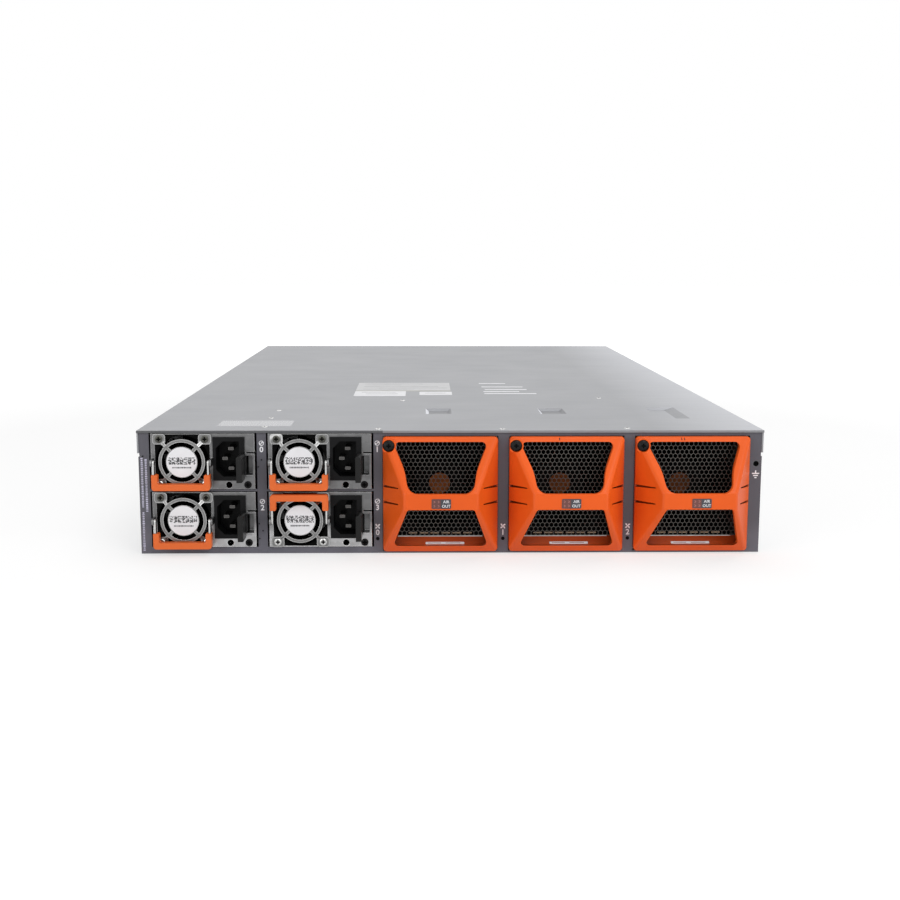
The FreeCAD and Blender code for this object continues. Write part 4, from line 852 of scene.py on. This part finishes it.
def honeycomb_mesh(i):
    """Fine honeycomb plate in place of the coarse one, with a corner cut away for the screw's boss."""
    low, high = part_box(f"fan_{i}_grille")
    middle = (low + high) / 2
    a, b = (high.x - low.x) / 2, (high.z - low.z) / 2
    row_pitch = MESH_STRETCH * MESH_PITCH * math.sqrt(3) / 2
    radius = (MESH_PITCH - MESH_WEB) / math.sqrt(3)
    reach = MESH_BORDER + MESH_STRETCH * radius
    rows = int(b / row_pitch)
    columns = int(a / MESH_PITCH) + 1
    notch_u, notch_v = BOSS_NOTCH_W - a, b - BOSS_NOTCH_H
    loops = [[(-a, -b), (a, -b), (a, b), (notch_u, b), (notch_u, notch_v), (-a, notch_v)]]
    for row in range(-rows, rows + 1):
        for column in range(-columns, columns + 1):
            u, v = (column + 0.5 * (row % 2)) * MESH_PITCH, row * row_pitch
            in_notch = u < notch_u + reach and v > notch_v - reach
            if abs(u) < a - reach and abs(v) < b - reach and not in_notch:
                loops.append(hexagon(radius, u, v))
    front = on_service_side(middle.x, low.y, middle.z)
    mesh = flat_piece(f"fan_{i}_honeycomb", f"fan_{i}", MESH_METAL, [(front, loops, -MESH_SHEET, 0)])
    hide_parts(f"fan_{i}_grille")


def chevron(size, u, v):
    points = [(u - size / 3, v + size / 2), (u + size / 3, v), (u - size / 3, v - size / 2)]
    return stroke(points, size * ARROW_LINE)


def fan_labels(i):
    """Air direction plate on the handle, strip label on the sill, hub label and position ticks."""
    body = f"fan_{i}"
    bezel = f"fan_{i}_bezel"
    low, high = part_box(bezel)
    x, z = (low.x + high.x) / 2, (low.z + high.z) / 2
    bar = seat(bezel, x + AIR_PLATE_SHIFT[i], z - AIR_PLATE_DROP)
    flat_piece(f"fan_{i}_air_plate", body, DARK_PLATE,
               [(bar, [rounded(AIR_PLATE_W, AIR_PLATE_H, AIR_PLATE_ROUND)], 0, PLATE)])
    width, height, shift = AIR_FIELD
    field = rectangle(AIR_PLATE_W * width, AIR_PLATE_H * height, AIR_PLATE_W * shift)
    flat_piece(f"fan_{i}_air_field", body, RED_FIELD, [(bar, [field], PLATE, PLATE + PRINT)])
    marks = []
    for u in ARROW_COLUMNS:
        for v in ARROW_ROWS:
            arrow = chevron(ARROW_SIZE, AIR_PLATE_W * u, AIR_PLATE_H * v)
            marks.append((bar, [arrow], PLATE + PRINT, PLATE + 2 * PRINT))
    flat_piece(f"fan_{i}_air_arrows", body, RED_MARK, marks)
    bm = bmesh.new()
    for words, v in AIR_WORDS:
        line = bar @ Matrix.Translation((AIR_PLATE_W * AIR_WORD_SHIFT, AIR_PLATE_H * v, PLATE))
        add_text(bm, line, words, AIR_WORD_SIZE, PRINT, WORD_BOLD)
    make_piece(f"fan_{i}_air_words", bm, body, WHITE_PRINT)
    strip = seat(bezel, x + STRIP_SHIFT[i], low.z + STRIP_RISE)
    flat_piece(f"fan_{i}_strip_label", body, WHITE_LABEL,
               [(strip, [rounded(STRIP_W, STRIP_H, STRIP_ROUND)], 0, STICKER)])
    lines = []
    for start, end in STRIP_LINES:
        line = rectangle((end - start) * STRIP_W, STRIP_LINE_H, (start + end) / 2 * STRIP_W)
        lines.append((strip, [line], STICKER, STICKER + PRINT))
    flat_piece(f"fan_{i}_strip_print", body, RED_MARK, lines)
    ticks = [(seat(bezel, x + shift, high.z - TICK_DROP), [rectangle(TICK_W, TICK_H)], -PRINT, PRINT)
             for shift in TICK_SHIFT[i]]
    if ticks:
        flat_piece(f"fan_{i}_position_ticks", body, BLACK, ticks)
    hub = seat(f"fan_{i}_frame", x, z)
    flat_piece(f"fan_{i}_hub_label", body, HUB_LABELS[i], [(hub, [circle(HUB_LABEL_R)], 0, STICKER)])


def fan_sill(i):
    """Pale metal strip under the honeycomb, with a row of tan tabs behind it, darkened as painted shade
    behind the grille.
    """
    low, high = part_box(f"fan_{i}_grille")
    x = (low.x + high.x) / 2
    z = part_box(f"fan_{i}_bezel")[0].z + SILL_RISE
    face = on_service_side(x, low.y, z)
    flat_piece(f"fan_{i}_sill_strip", f"fan_{i}", GALVANISED,
               [(face, [rectangle(SILL_W, SILL_STRIP_H)], 0, SILL_STRIP_SHEET)])
    behind = on_service_side(x, high.y, z)
    tabs = []
    for k in range(SILL_TABS):
        u = (k - (SILL_TABS - 1) / 2) * SILL_TAB_PITCH
        tabs.append((behind, [rectangle(SILL_TAB_W, SILL_TAB_H, u, SILL_TAB_RISE)], -SILL_TAB_SHEET, 0))
    flat_piece(f"fan_{i}_sill_tabs", f"fan_{i}", SHADED_TAN_METAL, tabs)


def knob_recess(i):
    """Cross-slotted cap on the captive screw's knob."""
    low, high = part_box(f"fan_{i}_captive_screw")
    middle = (low + high) / 2
    face = on_service_side(middle.x, low.y, middle.z)
    screws(f"fan_{i}_screw_cap", f"fan_{i}_screw", KNOB_BLACK, [face], KNOB_CAP_R, KNOB_CAP_H)


# Power supplies

def code_squares(rng):
    """Random cells of a code block, in groups with gaps between them."""
    pitch = GLYPH_COLUMNS * CODE_CELL + GLYPH_GAP
    loops = []
    for glyph in range(CODE_GLYPHS):
        for column in range(GLYPH_COLUMNS):
            u = (glyph - (CODE_GLYPHS - 1) / 2) * pitch + (column - (GLYPH_COLUMNS - 1) / 2) * CODE_CELL
            for row in range(CODE_ROWS):
                if rng.random() < CODE_FILL:
                    v = (row - (CODE_ROWS - 1) / 2) * CODE_CELL
                    loops.append(rectangle(CODE_SQUARE, CODE_SQUARE, u, v))
    return loops


def word_dashes(rng, length, height):
    """Row of uneven dashes, centred and along u."""
    loops = []
    u = -length / 2
    while u < length / 2:
        width = rng.uniform(*DASH_WIDTHS) * height
        loops.append(rectangle(width, height * rng.uniform(*DASH_HEIGHTS), u + width / 2))
        u += width + height * DASH_GAP
    return loops


def guard_label(i):
    """White disc on the finger guard with a grey code block and a line of dashes."""
    rng = random.Random(GUARD_LABEL_SEED + i)
    low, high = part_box(f"psu_{i}_fan_housing")
    face = seat(f"psu_{i}_fan_guard", (low.x + high.x) / 2, (low.z + high.z) / 2)
    body = f"psu_{i}"
    disc = circle(GUARD_LABEL_R, count=GUARD_LABEL_SIDES)
    flat_piece(f"psu_{i}_guard_label", body, WHITE_LABEL, [(face, [disc], 0, STICKER)])
    code = face @ Matrix.Translation((0, CODE_RISE, 0))
    line = face @ Matrix.Translation((0, -WORD_LINE_DROP, 0))
    loops = [(code, loop) for loop in code_squares(rng)]
    loops += [(line, loop) for loop in word_dashes(rng, WORD_LINE_W, WORD_LINE_H)]
    flat_piece(f"psu_{i}_guard_print", body, GREY_PRINT,
               [(matrix, [loop], STICKER, STICKER + PRINT) for matrix, loop in loops])


def psu_screws(i):
    """Guard screws, dark above and bright below, and the black corner screw."""
    low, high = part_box(f"psu_{i}_fan_housing")
    case_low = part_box(f"psu_{i}_case")[0]
    x, z = (low.x + high.x) / 2, (low.z + high.z) / 2
    for side, material, name in ((1, DARK_SCREW, "upper"), (-1, NICKEL, "lower")):
        places = [seat(f"psu_{i}_fan_guard", x + a * GUARD_SCREW_OFFSET, z + side * GUARD_SCREW_OFFSET)
                  for a in (-1, 1)]
        screws(f"psu_{i}_{name}_guard_screws", f"psu_{i}", material, places, GUARD_SCREW_R, GUARD_SCREW_H)
    face = on_service_side(case_low.x + CORNER_SCREW_X, low.y, case_low.z + CORNER_SCREW_Z)
    screws(f"psu_{i}_corner_screw", f"psu_{i}", BLACK, [face], CORNER_SCREW_R, CORNER_SCREW_H)


def mount_named(name):
    return next(mount for mount in RECORD["mounts"] if mount["name"] == name)


def inlet_blades(i):
    """Metal skins of the inlet's three blades, darkened as painted shade of the inlet's mouth."""
    face = on_service_side(*mount_named(f"mains_inlet_{i}")["pos_m"])
    parts = [(face, [rounded(BLADE_SKIN_W, BLADE_SKIN_H, BLADE_SKIN_ROUND, u, v)], BLADE_ROOT, BLADE_TIP)
             for u, v in BLADE_PLACES]
    flat_piece(f"psu_{i}_inlet_blades", f"psu_{i}", SHADED_BLADE_METAL, parts)


def tie_hole_liner(i):
    """Black tube and end disc in the hole for a cord retainer: painted shade inside the hole."""
    mount = mount_named(f"cord_retainer_{i}")
    face = on_service_side(*mount["pos_m"])
    half = mount["dims"]["length_mm"] / 2 * MM
    radius = mount["dims"]["r_mm"] * MM - PRINT
    parts = [(face, [circle(radius), circle(radius - HOLE_SHADE_WALL)], -half, half - STICKER),
             (face, [circle(radius - HOLE_SHADE_WALL - PRINT)], -half, -half + HOLE_SHADE_WALL)]
    flat_piece(f"psu_{i}_tie_hole_liner", f"psu_{i}", DEEP_BLACK, parts)


# Marks on the posts and the lid

def fan_icon(face):
    """Propeller of four swept blades about a small hub."""
    parts = [(face, [circle(FAN_ICON_R * FAN_ICON_HUB, count=PIN_SIDES)], 0, PRINT)]
    out, aside = FAN_BLADE_PLACE
    blade = [(FAN_ICON_R * (out + u), FAN_ICON_R * (aside + FAN_BLADE_FLAT * v))
             for u, v in circle(FAN_BLADE_R, count=FAN_BLADE_SIDES)]
    for k in range(FAN_ICON_BLADES):
        turn = face @ Matrix.Rotation(math.radians(360 / FAN_ICON_BLADES * k + FAN_ICON_TURN), 4, "Z")
        parts.append((turn, [blade], 0, PRINT))
    return parts


def power_icon(face):
    """Ring with a wave through it."""
    steps = [2 * k / WAVE_STEPS - 1 for k in range(WAVE_STEPS + 1)]
    wave = [(ICON_R * WAVE_REACH * t, ICON_R * WAVE_HEIGHT * math.sin(math.pi * t)) for t in steps]
    ring = [circle(ICON_R, count=ICON_SIDES), circle(ICON_R * RING_HOLE, count=ICON_SIDES)]
    return [(face, ring, 0, PRINT), (face, [stroke(wave, ICON_R * WAVE_LINE)], 0, PRINT)]


def post_marks():
    """Icons and plain numbers beside each bay, with the status lamps, and black discs of painted shade for
    the pin holes.
    """
    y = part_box("rear_frame")[0].y
    cases = [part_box(f"psu_{i}_case") for i in range(PSU_COUNT)]
    bezels = [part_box(f"fan_{i}_bezel") for i in range(FAN_COUNT)]
    psu_posts = [(cases[0][1].x + cases[1][0].x) / 2, (cases[1][1].x + bezels[0][0].x) / 2]
    fan_posts = [psu_posts[1]] + [(bezels[i - 1][1].x + bezels[i][0].x) / 2 for i in range(1, FAN_COUNT)]
    parts = []
    digits = []
    for i, (_, high) in enumerate(cases):
        x = psu_posts[i % 2]
        parts += power_icon(on_service_side(x, y, high.z - PSU_ICON_DROP))
        digits.append((on_service_side(x, y, high.z - PSU_DIGIT_DROP), str(i)))
    for i, x in enumerate(fan_posts):
        parts += fan_icon(on_service_side(x, y, FAN_ICON_Z))
        digits.append((on_service_side(x, y, FAN_DIGIT_Z), str(i)))
    bm = bmesh.new()
    for matrix, loops, bottom, top in parts:
        add_flat(bm, matrix, loops, bottom, top)
    for matrix, words in digits:
        add_text(bm, matrix, words, DIGIT, PRINT, DIGIT_BOLD)
    make_piece("post_marks", bm, "chassis", WHITE_PRINT)
    lamp, pin_hole_shade = circle(LED_R, count=DOT_SIDES), circle(PIN_HOLE_R, count=PIN_SIDES)
    dots = [(on_service_side(x, y, LED_Z), [lamp], 0, 2 * PRINT) for x in fan_posts]
    # Pin holes are black discs: painted shade of the holes.
    dots += [(on_service_side(x, y, z), [pin_hole_shade], 0, PRINT) for x, z in PIN_HOLES]
    flat_piece("status_lamps", "chassis", DEEP_BLACK, dots)


def earth_mark():
    """Plain earth mark under the wrist strap's socket: a stem over three shrinking bars."""
    low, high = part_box("esd_jack")
    x, z = (low.x + high.x) / 2, (low.z + high.z) / 2 - EARTH_DROP
    face = on_service_side(x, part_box("rear_frame")[0].y, z)
    loops = [rectangle(EARTH_LINE, EARTH_STEM, 0, (EARTH_LINE + EARTH_STEM) / 2)]
    for k, share in enumerate(EARTH_BAR_SHARES):
        loops.append(rectangle(EARTH_BAR * share, EARTH_LINE, 0, -EARTH_PITCH * k))
    flat_piece("earth_mark", "chassis", WHITE_PRINT, [(face, [loop], 0, PRINT) for loop in loops])


def left_post_print():
    """Columns of pale dashes that run up the left post."""
    rng = random.Random(POST_PRINT_SEED)
    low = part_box("rear_frame")[0]
    parts = []
    for inset, bottom, top in POST_PRINT:
        column = plane(Vector((low.x + inset, low.y, (bottom + top) / 2)), (0, 0, 1), (-1, 0, 0))
        parts += [(column, [loop], 0, PRINT) for loop in word_dashes(rng, top - bottom, POST_PRINT_W)]
    flat_piece("left_post_print", "chassis", PALE_PRINT, parts)


def lid_patch(left, right, near, far, corner):
    """Matrix and outline of a rounded patch on the lid, placed from its rear edge."""
    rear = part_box("rear_frame")[0].y
    face = on_lid((left + right) / 2, rear + (near + far) / 2)
    return face, [rounded(right - left, far - near, corner)]


def lid_lines(lines, height, bottom, top):
    """Thin bars on the lid from (left, right, distance)."""
    corner = height * LID_LINE_ROUND
    return [(*lid_patch(left, right, away - height / 2, away + height / 2, corner), bottom, top)
            for left, right, away in lines]


def lid_details():
    """Stickers with faint print, print lines and small screws on the lid."""
    main, *small = [(*lid_patch(*edges, LID_STICKER_ROUND), 0, STICKER) for edges in LID_STICKERS]
    flat_piece("lid_sticker", "chassis", LID_LABEL, [main])
    flat_piece("lid_small_stickers", "chassis", WHITE_LABEL, small)
    flat_piece("lid_stripe", "chassis", LID_STRIPE_TONE,
               [(*lid_patch(*LID_STRIPE, LID_STRIPE_ROUND), 0, PRINT)])
    flat_piece("lid_sticker_print", "chassis", LABEL_PRINT,
               lid_lines(LABEL_LINES, LABEL_LINE_H, STICKER, STICKER + PRINT))
    flat_piece("lid_print_lines", "chassis", WHITE_PRINT, lid_lines(LID_LINES, LID_LINE_H, 0, PRINT))
    flat_piece("lid_clear_film", "chassis", CLEAR_FILM, [(*lid_patch(*LID_FILM, LID_FILM_ROUND), 0, PRINT)])
    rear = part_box("rear_frame")[0].y
    places = [on_lid(x, rear + away) for x, away in LID_SCREWS]
    screws("lid_screws", "chassis", NICKEL, places, LID_SCREW_R, LID_SCREW_H)


# Stage, light and camera

def seen_directly(tree):
    """1 for rays from the camera and for reflected and refracted ones, 0 for the light of the scene."""
    path = tree.nodes.new("ShaderNodeLightPath")
    value = path.outputs["Is Camera Ray"]
    for kind in ("Is Glossy Ray", "Is Transmission Ray"):
        value = combine(tree, "MAXIMUM", value, path.outputs[kind])
    return value


def make_floor():
    """White floor that keeps the object's shadow near it and fades to plain white for the camera."""
    bm = bmesh.new()
    bmesh.ops.create_grid(bm, x_segments=1, y_segments=1, size=FLOOR_SIZE)
    mesh = bpy.data.meshes.new("floor")
    bm.to_mesh(mesh)
    bm.free()
    floor = bpy.data.objects.new("floor", mesh)
    floor.location.z = -FLOOR_GAP
    bpy.context.scene.collection.objects.link(floor)
    material = bpy.data.materials.new("white_floor")
    material.use_nodes = True
    tree = material.node_tree
    tree.nodes.remove(tree.nodes["Principled BSDF"])
    diffuse = tree.nodes.new("ShaderNodeBsdfDiffuse")
    diffuse.inputs["Color"].default_value = FLOOR_COLOR
    white = tree.nodes.new("ShaderNodeEmission")
    white.inputs["Strength"].default_value = FLOOR_WHITE
    distance = tree.nodes.new("ShaderNodeVectorMath")
    distance.operation = "LENGTH"
    tree.links.new(object_coordinates(tree), distance.inputs[0])
    fade = grade(tree, distance.outputs["Value"], FLOOR_FADE, (FLOOR_LIFT, 1.0))
    both = tree.nodes.new("ShaderNodeMixShader")
    tree.links.new(product(tree, fade, seen_directly(tree)), both.inputs["Fac"])
    tree.links.new(diffuse.outputs["BSDF"], both.inputs[1])
    tree.links.new(white.outputs["Emission"], both.inputs[2])
    tree.links.new(both.outputs["Shader"], tree.nodes["Material Output"].inputs["Surface"])
    mesh.materials.append(material)


def make_world():
    """White to the camera and in reflections, dimmer as a lamp."""
    world = bpy.data.worlds.new("studio")
    bpy.context.scene.world = world
    world.use_nodes = True
    tree = world.node_tree
    background = tree.nodes["Background"]
    background.inputs["Color"].default_value = (1, 1, 1, 1)
    level = grade(tree, seen_directly(tree), (0.0, 1.0), (WORLD_LIGHT, 1.0))
    tree.links.new(level, background.inputs["Strength"])


def make_lamp(name, place, target, size, power):
    """Rectangular lamp that looks at a target."""
    data = bpy.data.lights.new(name, "AREA")
    data.shape = "RECTANGLE"
    data.size, data.size_y = size
    data.energy = power
    lamp = bpy.data.objects.new(name, data)
    lamp.location = place
    lamp.rotation_mode = "QUATERNION"
    lamp.rotation_quaternion = (Vector(target) - Vector(place)).to_track_quat("-Z", "Y")
    bpy.context.scene.collection.objects.link(lamp)


def make_camera():
    """Camera of the photograph, from its fitted place and turn."""
    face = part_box("rear_frame")[0].y
    turn = Matrix.Rotation(-CAMERA_PITCH, 3, "X") @ Matrix.Rotation(-CAMERA_YAW, 3, "Z")
    right, forward, up = Matrix.Rotation(CAMERA_ROLL, 3, "Y") @ turn
    data = bpy.data.cameras.new("photo_camera")
    data.lens = CAMERA_LENS
    data.sensor_width = CAMERA_SENSOR
    data.clip_start = CAMERA_NEAR
    camera = bpy.data.objects.new("photo_camera", data)
    camera.matrix_world = placed(right, up, -forward, CAMERA_PLACE + Vector((0, face, 0)))
    bpy.context.scene.collection.objects.link(camera)
    bpy.context.scene.camera = camera


dress_nodes()
for fan in range(FAN_COUNT):
    honeycomb_mesh(fan)
    fan_labels(fan)
    fan_sill(fan)
    knob_recess(fan)
for supply in range(PSU_COUNT):
    guard_label(supply)
    psu_screws(supply)
    inlet_blades(supply)
    tie_hole_liner(supply)
post_marks()
earth_mark()
left_post_print()
lid_details()
make_floor()
make_world()
for lamp in LAMPS:
    make_lamp(*lamp)
make_camera()
bpy.context.scene.view_settings.view_transform = "Standard"
